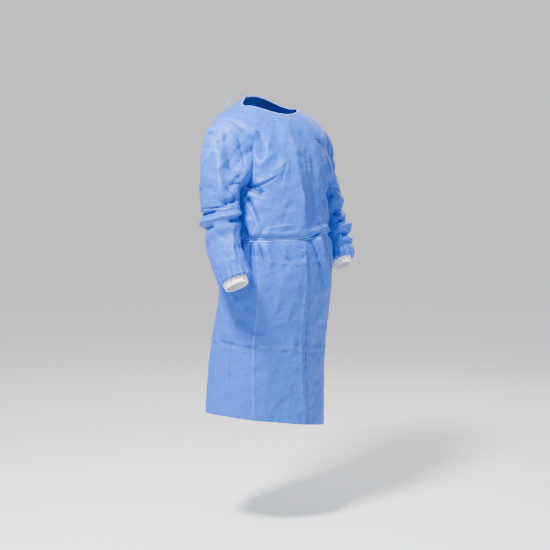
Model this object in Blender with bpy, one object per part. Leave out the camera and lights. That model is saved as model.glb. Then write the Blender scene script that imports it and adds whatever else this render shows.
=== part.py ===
# Surgical gown of thin non-woven cloth, worn, with no wearer in it.
# Metres, +Z up. The front faces -Y and +X is the wearer's left.
# The origin is between the shoulders, where the wearer's neck and shoulders hold the gown up.
import bpy
import bmesh
import math
from mathutils import Vector

# general sizes
WALL = 0.0020              # cloth thickness
SEAM_GAP = 0.0003          # space left between two pieces that are sewn together
HALF_SEAM = SEAM_GAP / 2
OVERLAP_LIFT = 0.0040      # how far the outer back panel stands off the inner one
LIFT_ANGLES = (140.0, 158.0)  # the outer panel leaves the inner one's level between these
BACK_REACH = 200.0         # each back panel goes past the centre back (180 degrees) by 20
SIDE_ANGLE = 90.0          # shoulder seams and side seams
FRONT_CELLS = 36
BACK_CELLS = 13
BODY_DEGREE = 0.0035       # metres of cloth for one degree round the body
SLEEVE_DEGREE = 0.0012     # and round a sleeve
SECTION_STEP = 0.0475      # metres from one sleeve section to the next

# The cloth round the body, from the neckline down. Angle 0 is the front, 90 the wearer's left.
# front z, side z, back z, half width, side y, front y, back y, squareness
BODY_LEVELS = (
    (-0.028, 0.002, 0.045, 0.108, -0.012, -0.097, 0.078, 2.00),   # 0 neckline
    (-0.050, -0.010, 0.028, 0.138, -0.008, -0.118, 0.098, 2.10),
    (-0.085, -0.026, 0.000, 0.172, -0.004, -0.138, 0.116, 2.30),
    (-0.130, -0.048, -0.045, 0.203, 0.000, -0.155, 0.128, 2.50),  # 3 shoulder tip
    (-0.165, -0.100, -0.100, 0.200, -0.005, -0.165, 0.130, 2.60),
    (-0.205, -0.165, -0.160, 0.193, -0.012, -0.176, 0.126, 2.60),
    (-0.250, -0.225, -0.225, 0.187, -0.020, -0.184, 0.118, 2.50),
    (-0.300, -0.285, -0.285, 0.185, -0.028, -0.188, 0.110, 2.40),  # 7 armpit
    (-0.360, -0.355, -0.355, 0.186, -0.035, -0.190, 0.105, 2.30),
    (-0.410, -0.410, -0.410, 0.190, -0.040, -0.195, 0.103, 2.20),
    (-0.450, -0.450, -0.450, 0.194, -0.045, -0.198, 0.105, 2.15),  # 10 belt
    (-0.500, -0.500, -0.500, 0.199, -0.044, -0.203, 0.112, 2.10),
    (-0.600, -0.600, -0.600, 0.206, -0.042, -0.205, 0.122, 2.05),
    (-0.700, -0.700, -0.700, 0.210, -0.026, -0.186, 0.134, 2.00),
    (-0.800, -0.800, -0.800, 0.217, -0.006, -0.164, 0.150, 2.00),
    (-0.900, -0.900, -0.900, 0.224, 0.002, -0.157, 0.162, 2.00),
    (-1.000, -1.000, -1.000, 0.230, 0.008, -0.153, 0.169, 2.00),
    (-1.088, -1.090, -1.072, 0.234, 0.010, -0.152, 0.172, 2.00),  # 17 hem
)
LEVEL_TIP = 3.0
LEVEL_ARMPIT = 7.0
LEVEL_BELT = 10.0
LEVEL_HEM = 17.0
HEM_SLANT = 0.041          # the hem hangs lower on the wearer's left by this, higher on the right
ARMHOLE_CELLS = 11
ARMHOLE_FRONT = 34.0       # degrees that the armhole cuts into the front panel
ARMHOLE_BACK = 30.0
ARMHOLE_ROUNDNESS = 2.4
UPPER_ROWS = (0.0, 0.6, 1.2, 1.8, 2.4)
LOWER_ROWS = (7.6, 8.2, 8.8, 9.3, 9.62, 9.86, 10.14, 10.4, 10.8, 11.35, 11.9, 12.5, 13.1,
              13.7, 14.3, 14.9, 15.5, 16.1, 16.6, 17.0)
BELT_TOP_ROW = 9.86
BELT_LOW_ROW = 10.14
FOLDS_START = 1.2          # the folds fade out above this level, at the neckline
ANGLE_STEP = 0.4           # steps by which the slope of the cloth is found
LEVEL_STEP = 0.02

# small pieces
CUFF_WALL = 0.0025
BINDING_HEIGHT = 0.0060
BINDING_PROUD = 0.0006
BELT_GAP = 0.0004
BELT_THICK = 0.0018
BELT_WIDTH = 0.012
TRIM_LIFT = 0.0010         # room for trims over the overlap of the back panels
BELT_LIFT_ANGLES = (136.0, 156.0)
TIE_THICK = 0.0015
TIE_WIDTH = 0.010
BELT_KNOT = (0.016, 0.008, 0.010)
KNOT_PROUD = 0.0006        # the belt knot stands clear of the cloth above and below the belt
NECK_KNOT = (0.010, 0.007, 0.009)
NAPE_LEVEL = 0.7            # the neck tie is knotted here, at the centre back
LOOP_CELLS = 14
KNOT_CELLS = (12, 7)
HANGING_CELLS = 12
HANGING_SPREAD = 4.0       # degrees that a hanging end drifts from the centre back
HANGING_GAP = 0.0014
HANGING_ARCH = 0.0050      # a hanging end arches off the cloth below its knot
HANGING_LIES = (0.05, 0.45)  # shares of its length between which it comes to lie on the cloth
# Loose ends of the belt and of the neck tie. name, side, distance from the middle of the knot,
# degrees from the centre back, level where it comes to the cloth, level of its end
BELT_ENDS = (("belt_end_right", -1, 0.009, 3.6, 10.6, 13.4),
             ("belt_end_left", 1, 0.009, 3.6, 10.6, 12.9))
NECK_ENDS = (("neck_end_right", -1, 0.0056, 4.0, 1.9, 3.7),
             ("neck_end_left", 1, 0.0056, 4.0, 1.9, 3.3))
# Loop of the neck tie, from the knot at the nape. out to the side, back, up
NECK_LOOP = (
    (0.0089, 0.003, 0.003), (0.034, 0.018, 0.012), (0.060, 0.030, -0.002),
    (0.074, 0.038, -0.028), (0.066, 0.042, -0.048), (0.044, 0.036, -0.034),
    (0.0102, 0.006, -0.004),
)

# The belt pulls the cloth in and the cloth hangs over it. depth, level, spread in levels
BELT_PINCH = ((-0.010, 10.00, 0.26), (0.007, 9.44, 0.34), (0.004, 10.66, 0.42))
# The belt rides up on the wearer's left front. height, centre angle, spread, spread in levels
BELT_RISE = (0.025, 33.0, 24.0, 1.1)

# Folds of the cloth round the body: soft ridges and troughs along straight lines.
# angle, height, end angle, end height, depth (out is plus), half width
BODY_FOLDS = (
    (-10.0, -0.085, -4.0, -0.150, 0.006, 0.024),    # long ridge down the chest
    (-4.0, -0.190, -3.0, -0.400, 0.009, 0.026),
    (9.0, -0.130, 14.0, -0.380, -0.006, 0.024),     # hollow beside it
    (-41.0, -0.105, -45.0, -0.170, -0.008, 0.018),  # hollows below the neckline
    (-53.0, -0.120, -58.0, -0.165, -0.006, 0.018),
    (-50.0, -0.258, -18.0, -0.210, 0.009, 0.020),   # ridges from the right armpit
    (-47.0, -0.200, -30.0, -0.168, 0.006, 0.017),
    (-66.0, -0.262, -50.0, -0.293, -0.010, 0.018),  # pulled in below that armpit
    (-66.0, -0.322, -56.0, -0.385, -0.008, 0.018),
    (-58.0, -0.330, -44.0, -0.420, 0.006, 0.018),
    (28.0, -0.110, 40.0, -0.235, -0.006, 0.022),    # wearer's left chest
    (40.0, -0.200, 52.0, -0.380, 0.006, 0.024),
    (60.0, -0.270, 34.0, -0.330, -0.006, 0.020),
    (-63.0, -0.470, -60.0, -0.620, -0.006, 0.022),  # gathers that the belt sends down
    (-34.0, -0.480, -36.0, -0.640, -0.004, 0.024),
    (24.0, -0.480, 22.0, -0.700, -0.004, 0.026),
    (52.0, -0.490, 50.0, -0.860, 0.005, 0.030),
    (-76.0, -0.800, -72.0, -1.080, -0.005, 0.030),  # long waves of the skirt
    (-22.0, -0.760, -16.0, -1.080, -0.004, 0.034),
    (30.0, -0.760, 28.0, -1.080, -0.005, 0.034),
    (104.0, -0.520, 108.0, -1.080, -0.007, 0.032),  # hidden side and back
    (132.0, -0.640, 136.0, -1.080, 0.007, 0.032),
    (-108.0, -0.560, -104.0, -1.080, 0.006, 0.030),
    (-130.0, -0.500, -136.0, -1.080, -0.008, 0.032),
    (118.0, -0.180, 150.0, -0.400, 0.007, 0.024),
    (-116.0, -0.200, -146.0, -0.380, 0.007, 0.024),
    (-128.0, -0.130, -136.0, -0.330, -0.006, 0.022),
    (132.0, -0.120, 128.0, -0.300, -0.006, 0.022),
)


def spline(table, place):
    """Values of a table of equal steps at a place between its rows, on a smooth curve."""
    last = len(table) - 1
    place = min(max(place, 0.0), float(last))
    row = min(int(place), last - 1)
    step = place - row
    before, here = table[max(row - 1, 0)], table[row]
    after, far = table[row + 1], table[min(row + 2, last)]
    return [0.5 * (2 * b + (c - a) * step + (2 * a - 5 * b + 4 * c - d) * step ** 2
                   + (3 * b - a - 3 * c + d) * step ** 3)
            for a, b, c, d in zip(before, here, after, far)]


def bump(distance, spread):
    return math.exp(-(distance / spread) ** 2)


def ease(low, high, value):
    step = min(max((value - low) / (high - low), 0.0), 1.0)
    return step * step * (3 - 2 * step)


def power(value, exponent):
    return math.copysign(abs(value) ** exponent, value)


def base_point(angle, level):
    """A point of the cloth round the body before its folds are added."""
    (front_z, side_z, back_z, half_width, side_y,
     front_y, back_y, squareness) = spline(BODY_LEVELS, level)
    turn = math.radians(angle)
    sine, cosine = math.sin(turn), math.cos(turn)
    if abs(abs(angle) - 90.0) < 1e-9:
        cosine = 0.0
    exponent = 2.0 / squareness
    x = half_width * power(sine, exponent)
    end_y, end_z = (front_y, front_z) if cosine > 0 else (back_y, back_z)
    y = side_y + (end_y - side_y) * abs(cosine) ** exponent
    z = side_z + (end_z - side_z) * cosine ** 2
    z -= HEM_SLANT * sine * ease(LEVEL_BELT + 1, LEVEL_HEM, level)
    rise, centre, spread, level_spread = BELT_RISE
    z += rise * bump(angle - centre, spread) * bump(level - LEVEL_BELT, level_spread)
    return Vector((x, y, z))


def slope_normal(point_at, angle, level):
    """The direction that faces out of the cloth, from a surface given as a function."""
    low, high = max(level - LEVEL_STEP, 0.0), min(level + LEVEL_STEP, LEVEL_HEM)
    across = point_at(angle + ANGLE_STEP, level) - point_at(angle - ANGLE_STEP, level)
    down = point_at(angle, high) - point_at(angle, low)
    return down.cross(across).normalized()


def fold_depth(across, down, folds, degree_length, row_length, wraps):
    """How far the listed folds move the cloth out at a place given by angle and row."""
    total = 0.0
    for angle, row, end_angle, end_row, depth, half_width in folds:
        off = across - angle
        if wraps:
            off = (off + 180.0) % 360.0 - 180.0
        here = Vector((off * degree_length, (down - row) * row_length))
        line = Vector(((end_angle - angle) * degree_length, (end_row - row) * row_length))
        length = line.length
        along = min(max(here.dot(line) / length, 0.0), length)
        total += depth * bump((here - line * (along / length)).length, half_width)
    return total


def body_point(angle, level):
    """A point of the outer face of the cloth round the body, folds and all."""
    place = base_point(angle, level)
    out = fold_depth(angle, place.z, BODY_FOLDS, BODY_DEGREE, 1.0, False)
    out *= ease(0.0, FOLDS_START, level)
    for depth, at_level, spread in BELT_PINCH:
        out += depth * bump(level - at_level, spread)
    return place + slope_normal(base_point, angle, level) * out


def body_frame(angle, level):
    return body_point(angle, level), slope_normal(body_point, angle, level)


def rows_of_body():
    step = (LEVEL_ARMPIT - LEVEL_TIP) / ARMHOLE_CELLS
    middle = [LEVEL_TIP + step * count for count in range(ARMHOLE_CELLS + 1)]
    return list(UPPER_ROWS) + middle + list(LOWER_ROWS)


def armhole_cut(level, most):
    """Degrees that the armhole takes off a panel at a level."""
    if level <= LEVEL_TIP or level >= LEVEL_ARMPIT:
        return 0.0
    half = (LEVEL_ARMPIT - LEVEL_TIP) / 2
    place = (level - LEVEL_TIP - half) / half
    return most * (1 - abs(place) ** ARMHOLE_ROUNDNESS) ** 0.5


def front_angles(level):
    limit = SIDE_ANGLE - armhole_cut(level, ARMHOLE_FRONT)
    return [limit * (2 * count / FRONT_CELLS - 1) for count in range(FRONT_CELLS + 1)]


def back_angles(level):
    start = SIDE_ANGLE + armhole_cut(level, ARMHOLE_BACK)
    return [start + (BACK_REACH - start) * count / BACK_CELLS for count in range(BACK_CELLS + 1)]


def overlap_lift(angle):
    return OVERLAP_LIFT * ease(*LIFT_ANGLES, abs(angle))


def cloth_rows(angles_of, side, lifted):
    """Outer and inner points of a panel, a list of rows from the top down."""
    outer, inner = [], []
    for level in rows_of_body():
        outer_row, inner_row = [], []
        for angle in angles_of(level):
            place, normal = body_frame(side * angle, level)
            if lifted:
                place = place + normal * overlap_lift(angle)
            outer_row.append(place)
            inner_row.append(place - normal * WALL)
        outer.append(outer_row)
        inner.append(inner_row)
    return outer, inner


def draw_in_edge(outer, inner, column, neighbour, rows):
    """Moves a seam edge back by half the seam gap, so that two pieces stay apart."""
    for row in rows:
        for face in (outer, inner):
            way = (face[row][neighbour] - face[row][column]).normalized()
            face[row][column] = face[row][column] + way * HALF_SEAM


def make_solid(name, outer, inner, is_tube, colour):
    """A closed solid between two matching grids of points."""
    mesh = bmesh.new()
    count = len(outer[0])
    out = [[mesh.verts.new(p) for p in row] for row in outer]
    ins = [[mesh.verts.new(p) for p in row] for row in inner]
    rows = len(outer)
    columns = count if is_tube else count - 1
    for r in range(rows - 1):
        for c in range(columns):
            d = (c + 1) % count
            mesh.faces.new((out[r][c], out[r + 1][c], out[r + 1][d], out[r][d]))
            mesh.faces.new((ins[r][d], ins[r + 1][d], ins[r + 1][c], ins[r][c]))
    for c in range(columns):
        d = (c + 1) % count
        mesh.faces.new((out[0][d], ins[0][d], ins[0][c], out[0][c]))
        mesh.faces.new((out[-1][c], ins[-1][c], ins[-1][d], out[-1][d]))
    if not is_tube:
        for r in range(rows - 1):
            mesh.faces.new((out[r][0], ins[r][0], ins[r + 1][0], out[r + 1][0]))
            mesh.faces.new((out[r + 1][-1], ins[r + 1][-1], ins[r][-1], out[r][-1]))
    finish_object(name, mesh, colour)


def finish_object(name, mesh, colour):
    bmesh.ops.triangulate(mesh, faces=mesh.faces[:], quad_method='BEAUTY')
    bmesh.ops.recalc_face_normals(mesh, faces=mesh.faces[:])
    data = bpy.data.meshes.new(name)
    mesh.to_mesh(data)
    mesh.free()
    made = bpy.data.objects.new(name, data)
    bpy.context.scene.collection.objects.link(made)
    material = bpy.data.materials.new(name + "_cloth")
    material.use_nodes = True
    shader = material.node_tree.nodes["Principled BSDF"]
    shader.inputs["Base Color"].default_value = (*colour, 1.0)
    shader.inputs["Roughness"].default_value = ROUGHNESS
    data.materials.append(material)


ROUGHNESS = 0.85
# colours, linear
BLUE = (0.190, 0.325, 0.730)
LIGHT_BLUE = (0.290, 0.350, 0.620)
WHITE = (0.780, 0.800, 0.810)


def make_panels():
    rows = rows_of_body()
    upper = [n for n, level in enumerate(rows) if level <= LEVEL_TIP]
    lower = [n for n, level in enumerate(rows) if level >= LEVEL_ARMPIT]
    seam_rows = upper + lower
    outer, inner = cloth_rows(front_angles, 1, False)
    draw_in_edge(outer, inner, 0, 1, seam_rows)
    draw_in_edge(outer, inner, -1, -2, seam_rows)
    make_solid("front_panel", outer, inner, False, BLUE)
    for name, side, lifted in (("back_panel_left", 1, False), ("back_panel_right", -1, True)):
        outer, inner = cloth_rows(back_angles, side, lifted)
        draw_in_edge(outer, inner, 0, 1, seam_rows)
        make_solid(name, outer, inner, False, BLUE)


# Sleeve sections from just below the armpit to the wrist.
# centre x (out from the body), centre y, centre z, half size across, half size front to back,
# lean of the section (metres that its front edge is higher than its centre, per metre)
RIGHT_SLEEVE = (
    (0.246, -0.044, -0.290, 0.058, 0.080, 0.00),
    (0.251, -0.052, -0.340, 0.057, 0.080, 0.00),
    (0.255, -0.060, -0.385, 0.058, 0.080, 0.05),
    (0.260, -0.074, -0.430, 0.052, 0.066, 0.20),
    (0.265, -0.094, -0.485, 0.049, 0.064, 0.35),
    (0.267, -0.125, -0.535, 0.048, 0.060, 0.45),
    (0.267, -0.148, -0.575, 0.047, 0.056, 0.50),
)
LEFT_SLEEVE = (
    (0.243, -0.014, -0.290, 0.054, 0.076, 0.00),
    (0.248, -0.024, -0.330, 0.055, 0.076, 0.00),
    (0.251, -0.036, -0.375, 0.054, 0.074, 0.05),
    (0.255, -0.056, -0.415, 0.053, 0.072, 0.20),
    (0.257, -0.074, -0.455, 0.048, 0.062, 0.35),
    (0.258, -0.086, -0.495, 0.047, 0.056, 0.45),
    (0.258, -0.096, -0.530, 0.046, 0.052, 0.50),
)
# Folds of the sleeves: soft ridges and troughs along straight lines.
# angle (0 outer, 90 front, 180 inner), section, end angle, end section, depth, half width
RIGHT_FOLDS = (
    (40.0, -3.2, 36.0, 0.2, 0.006, 0.018),      # ridge down the upper arm
    (0.0, -4.0, 18.0, -3.2, -0.007, 0.014),     # crease over the cap
    (18.0, -3.2, 58.0, -1.9, -0.008, 0.014),
    (-55.0, -2.4, 8.0, -2.8, -0.005, 0.014),
    (95.0, -2.0, 70.0, -0.4, -0.007, 0.015),
    (2.0, 0.95, 104.0, 0.50, -0.013, 0.0095),   # stack of folds above the elbow
    (-45.0, 1.55, 46.0, 1.15, -0.013, 0.0095),
    (-10.0, 1.30, 70.0, 0.95, 0.006, 0.010),
    (-70.0, 2.75, 140.0, 1.85, -0.017, 0.012),
    (-60.0, 2.20, 120.0, 1.50, 0.006, 0.010),
    (200.0, 1.30, 280.0, 1.70, -0.010, 0.012),
    (190.0, 2.20, 270.0, 2.60, -0.008, 0.012),
    (-30.0, 3.60, 70.0, 3.10, -0.005, 0.014),   # forearm
    (20.0, 4.60, 120.0, 4.10, -0.005, 0.014),
    (210.0, 3.80, 300.0, 4.30, -0.005, 0.014),
)
LEFT_FOLDS = (
    (30.0, -3.2, 40.0, 0.0, 0.005, 0.018),
    (70.0, -2.6, 30.0, -1.0, -0.006, 0.015),
    (-20.0, 0.40, 110.0, 0.80, 0.006, 0.012),
    (-10.0, 1.20, 120.0, 1.80, -0.010, 0.011),
    (-20.0, 2.30, 110.0, 2.60, -0.008, 0.010),
    (-40.0, 3.05, 100.0, 3.20, 0.007, 0.011),
    (-60.0, 4.00, 130.0, 4.20, -0.013, 0.011),
    (0.0, 5.10, 120.0, 4.90, -0.006, 0.012),
    (200.0, 2.10, 290.0, 1.80, -0.008, 0.012),
    (200.0, 3.60, 290.0, 3.30, -0.008, 0.012),
)
CAP_ROWS = 8
CAP_SPAN = 4.2             # sections that the cloth above the first section counts for
# The cloth leaves the armhole down the slope of the shoulder at its top, in line with the
# panels at its sides and turned down the arm at the armpit.
CAP_SLOPE = (0.95, -0.30)  # out, up
CAP_TURNED = (0.80, -0.42)
CAP_RADIAL = 0.40          # share of the way from the armhole's middle in the turned way
CAP_TOP = (0.40, 0.98)     # heights of that way between which the top begins
CAP_SIDES = (-0.55, 0.75)  # and the sides
CAP_LEAVE = 1.08           # pull of the curve at the armhole and at the first section
CAP_ARRIVE = 0.90
CAP_LOOK = 0.4             # section that gives the curve's way at its lower end
INNER_ARM = (110.0, 250.0)  # nothing bulges toward the body there, beside the armpit
INNER_ARM_SECTION = 0.5
RIGHT_ROWS = (0.0, 0.35, 0.65, 0.88, 1.1, 1.32, 1.54, 1.76, 1.98, 2.2, 2.42, 2.64, 2.88,
              3.2, 3.6, 4.1, 4.6, 5.1, 5.6, 6.0)
LEFT_ROWS = (0.0, 0.5, 1.0, 1.4, 1.75, 2.1, 2.45, 2.8, 3.15, 3.5, 3.8, 4.1, 4.4, 4.8, 5.3, 6.0)
# The sleeve end rolls in. share of the last section, metres along the arm
SLEEVE_END = ((0.93, 0.0045), (0.84, 0.0050), (0.79, 0.0000), (0.78, -0.0080))
# The knitted cuff. share of the last section, metres along the arm
CUFF_OUTER = ((0.772, -0.012), (0.773, 0.000), (0.755, 0.013), (0.725, 0.026))


def armhole_loop(side):
    """Edge points of an armhole, from the shoulder tip by the front to the armpit and back up.
    Each has its place, the way that faces out of the body cloth and the way off its edge."""
    step = (LEVEL_ARMPIT - LEVEL_TIP) / ARMHOLE_CELLS
    levels = [LEVEL_TIP + step * count for count in range(ARMHOLE_CELLS + 1)]
    front = [(SIDE_ANGLE - armhole_cut(level, ARMHOLE_FRONT), level) for level in levels]
    back = [(SIDE_ANGLE + armhole_cut(level, ARMHOLE_BACK), level) for level in levels]
    places = front + back[-2:0:-1]
    framed = [body_frame(side * angle, level) for angle, level in places]
    loop = []
    centre = sum((place for place, normal in framed), Vector()) / len(framed)
    for count, (place, normal) in enumerate(framed):
        along = framed[(count + 1) % len(framed)][0] - framed[count - 1][0]
        away = along.cross(normal).normalized()
        if away.dot(centre - place) < 0:
            away = -away
        loop.append((place, normal, away))
    return loop, centre


def sleeve_section(table, side, place, columns):
    cx, cy, cz, across, deep, lean = spline(table, place)
    points = []
    for count in range(columns):
        turn = 2 * math.pi * count / columns
        forward = math.sin(turn)
        points.append(Vector((side * (cx + across * math.cos(turn)), cy - deep * forward,
                              cz + lean * deep * forward)))
    return points


def sleeve_rows(table, side, arm_rows):
    """Rings of a sleeve before its folds, and the section number of each."""
    loop, centre = armhole_loop(side)
    columns = len(loop)
    start = [place + away * SEAM_GAP for place, normal, away in loop]
    first = sleeve_section(table, side, 0.0, columns)
    second = sleeve_section(table, side, CAP_LOOK, columns)
    slope = Vector((side * CAP_SLOPE[0], 0, CAP_SLOPE[1]))
    turned_way = Vector((side * CAP_TURNED[0], 0, CAP_TURNED[1]))
    rows, sections = [], []
    for row in range(CAP_ROWS):
        step = row / CAP_ROWS
        line = []
        for count in range(columns):
            radial = (start[count] - centre).normalized()
            turned = (turned_way + radial * CAP_RADIAL).normalized()
            top = ease(*CAP_TOP, radial.z)
            beside = ease(*CAP_SIDES, radial.z) * (1 - top)
            leave = (slope * top + loop[count][2] * beside
                     + turned * (1 - top - beside)).normalized()
            span = (first[count] - start[count]).length
            arrive = (second[count] - first[count]).normalized()
            h1 = 2 * step ** 3 - 3 * step ** 2 + 1
            h2 = step ** 3 - 2 * step ** 2 + step
            h3 = -2 * step ** 3 + 3 * step ** 2
            h4 = step ** 3 - step ** 2
            line.append(start[count] * h1 + leave * (span * CAP_LEAVE * h2)
                        + first[count] * h3 + arrive * (span * CAP_ARRIVE * h4))
        rows.append(line)
        sections.append(CAP_SPAN * (step - 1))
    for place in arm_rows:
        rows.append(sleeve_section(table, side, place, columns))
        sections.append(place)
    return rows, sections, loop


def grid_normals(rows, side):
    """Directions that face out of a tube given as rings of points."""
    normals = []
    last = len(rows) - 1
    for r, row in enumerate(rows):
        line = []
        for c in range(len(row)):
            down = rows[min(r + 1, last)][c] - rows[max(r - 1, 0)][c]
            around = row[(c + 1) % len(row)] - row[c - 1]
            line.append((around.cross(down) * side).normalized())
        normals.append(line)
    return normals


def folded_sleeve(rows, sections, folds, side):
    normals = grid_normals(rows, side)
    moved = []
    for r, row in enumerate(rows):
        line = []
        for c, point in enumerate(row):
            turn = 360.0 * c / len(row)
            out = fold_depth(turn, sections[r], folds, SLEEVE_DEGREE, SECTION_STEP, True)
            out *= ease(-CAP_SPAN, -CAP_SPAN + 1.0, sections[r])
            if INNER_ARM[0] < turn < INNER_ARM[1] and sections[r] < INNER_ARM_SECTION:
                out = min(out, 0.0)
            line.append(point + normals[r][c] * out)
        moved.append(line)
    return moved


def arm_end(table, side, columns):
    """Centre, outline and direction of the last section of a sleeve."""
    last = len(table) - 1
    ring = sleeve_section(table, side, last, columns)
    centre = sum(ring, Vector()) / columns
    before = sum(sleeve_section(table, side, last - 0.5, columns), Vector()) / columns
    return centre, [point - centre for point in ring], (centre - before).normalized()


def make_sleeve(name, table, folds, side, arm_rows):
    rows, sections, loop = sleeve_rows(table, side, arm_rows)
    rows = folded_sleeve(rows, sections, folds, side)
    centre, ring, along = arm_end(table, side, len(loop))
    for share, step in SLEEVE_END:
        rows.append([centre + offset * share + along * step for offset in ring])
    normals = grid_normals(rows, side)
    inner = []
    for r, row in enumerate(rows):
        line = []
        for c, point in enumerate(row):
            way = -normals[r][c]
            if r == 0:
                away = loop[c][2]
                way = (way - away * min(way.dot(away), 0.0)).normalized()
            line.append(point + way * WALL)
        inner.append(line)
    make_solid(name, rows, inner, True, BLUE)


def make_cuff(name, table, side):
    centre, ring, along = arm_end(table, side, 2 * ARMHOLE_CELLS)
    outer, inner = [], []
    for share, step in CUFF_OUTER:
        line = [centre + offset * share + along * step for offset in ring]
        outer.append(line)
        inner.append([point - (point - centre - along * step).normalized() * CUFF_WALL
                      for point in line])
    make_solid(name, outer, inner, True, WHITE)


def make_binding():
    """The folded strip on the neckline, from the inner panel's back edge to the outer's."""
    left = [(angle, 0.0) for angle in back_angles(0.0)]
    front = [(angle, 0.0) for angle in front_angles(0.0)]
    right = [(-angle, overlap_lift(angle)) for angle in back_angles(0.0)]
    outer, inner = [[], []], [[], []]
    for angle, lift in left[:0:-1] + front[::-1] + right[1:]:
        place, normal = body_frame(angle, 0.0)
        place = place + normal * lift
        up = (body_point(angle, 0.0) - body_point(angle, 0.1)).normalized()
        for row, rise in enumerate((BINDING_HEIGHT, SEAM_GAP)):
            edge = place + up * rise
            outer[row].append(edge + normal * BINDING_PROUD)
            inner[row].append(edge - normal * (WALL + BINDING_PROUD))
    make_solid("neck_binding", outer, inner, False, LIGHT_BLUE)


def belt_angles():
    left = [angle for angle in back_angles(LEVEL_BELT)[1:] if angle < 2 * 180.0 - BACK_REACH]
    right = [360.0 - angle for angle in back_angles(LEVEL_BELT)[:0:-1]]
    return front_angles(LEVEL_BELT) + left + right


def belt_lift(angle):
    near_back = 180.0 - abs(angle - 180.0) if angle > 90.0 else abs(angle)
    return (OVERLAP_LIFT + TRIM_LIFT) * ease(*BELT_LIFT_ANGLES, near_back)


def make_belt():
    outer, inner = [], []
    for level in (BELT_TOP_ROW, BELT_LOW_ROW):
        outer_row, inner_row = [], []
        for angle in belt_angles():
            place, normal = body_frame(angle if angle <= 180.0 else angle - 360.0, level)
            place = place + normal * (belt_lift(angle) + BELT_GAP)
            inner_row.append(place)
            outer_row.append(place + normal * BELT_THICK)
        outer.append(outer_row)
        inner.append(inner_row)
    make_solid("belt", outer, inner, True, BLUE)


def make_strip(name, stations, width, colour):
    """A flat strip along stations, each a centre, a direction across and a direction up."""
    outer, inner = [], []
    for centre, across, facing in stations:
        half = across * (width / 2)
        outer.append([centre - half + facing * TIE_THICK, centre + half + facing * TIE_THICK])
        inner.append([centre - half, centre + half])
    make_solid(name, outer, inner, False, colour)


def make_knot(name, centre, sizes, colour):
    mesh = bmesh.new()
    bmesh.ops.create_uvsphere(mesh, u_segments=KNOT_CELLS[0], v_segments=KNOT_CELLS[1], radius=1.0)
    for vertex in mesh.verts:
        vertex.co = Vector(vertex.co[axis] * sizes[axis] for axis in range(3)) + centre
    finish_object(name, mesh, colour)


def hanging_end(end, below_knot, width, colour):
    """A tie's loose end, from the place below a knot down over the outer back panel."""
    name, side, aside, turn, start_level, end_level = end
    start = below_knot + Vector((side * aside, 0.0, 0.0))
    stations = []
    for step in range(HANGING_CELLS + 1):
        share = step / HANGING_CELLS
        angle = side * (180.0 - turn - HANGING_SPREAD * share)
        level = start_level + (end_level - start_level) * share
        place, normal = body_frame(angle, level)
        across = (body_point(angle + 1.0, level) - body_point(angle - 1.0, level)).normalized()
        lies = ease(*HANGING_LIES, share)
        centre = start * (1 - lies) + (place + normal * (OVERLAP_LIFT + HANGING_GAP)) * lies
        centre += normal * (HANGING_ARCH * bump(share - 0.24, 0.15))
        centre.z = min(centre.z, start.z)
        stations.append((centre, across, normal))
    make_strip(name, stations, width, colour)


def make_belt_tie():
    place, normal = body_frame(180.0, LEVEL_BELT)
    lift = belt_lift(180.0) + BELT_GAP + BELT_THICK + KNOT_PROUD
    knot = place + normal * (lift + SEAM_GAP + BELT_KNOT[1])
    make_knot("belt_knot", knot, BELT_KNOT, BLUE)
    for end in BELT_ENDS:
        hanging_end(end, knot - Vector((0.0, 0.0, BELT_KNOT[2] + SEAM_GAP)), BELT_WIDTH, BLUE)


def make_neck_tie():
    place, normal = body_frame(180.0, NAPE_LEVEL)
    nape = place + normal * (OVERLAP_LIFT + TRIM_LIFT + NECK_KNOT[1])
    make_knot("neck_knot", nape, NECK_KNOT, LIGHT_BLUE)
    for name, side in (("neck_loop_right", -1), ("neck_loop_left", 1)):
        points = []
        for step in range(LOOP_CELLS + 1):
            out, back, up = spline(NECK_LOOP, (len(NECK_LOOP) - 1) * step / LOOP_CELLS)
            points.append(nape + Vector((side * out, back, up)))
        stations = []
        for step, point in enumerate(points):
            along = (points[min(step + 1, LOOP_CELLS)] - points[max(step - 1, 0)]).normalized()
            across = Vector((side * 0.30, -0.95, 0.0))
            across = (across - along * across.dot(along)).normalized()
            stations.append((point, across, along.cross(across).normalized()))
        make_strip(name, stations, TIE_WIDTH, LIGHT_BLUE)
    for end in NECK_ENDS:
        hanging_end(end, nape - Vector((0.0, 0.0, NECK_KNOT[2] + SEAM_GAP)), TIE_WIDTH, LIGHT_BLUE)


for old in list(bpy.data.objects):
    bpy.data.objects.remove(old, do_unlink=True)

make_panels()
make_sleeve("sleeve_right", RIGHT_SLEEVE, RIGHT_FOLDS, -1, RIGHT_ROWS)
make_sleeve("sleeve_left", LEFT_SLEEVE, LEFT_FOLDS, 1, LEFT_ROWS)
make_cuff("cuff_right", RIGHT_SLEEVE, -1)
make_cuff("cuff_left", LEFT_SLEEVE, 1)
make_binding()
make_belt()
make_belt_tie()
make_neck_tie()
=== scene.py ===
import math

import bmesh
import bpy
import numpy as np
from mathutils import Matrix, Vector, noise


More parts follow.
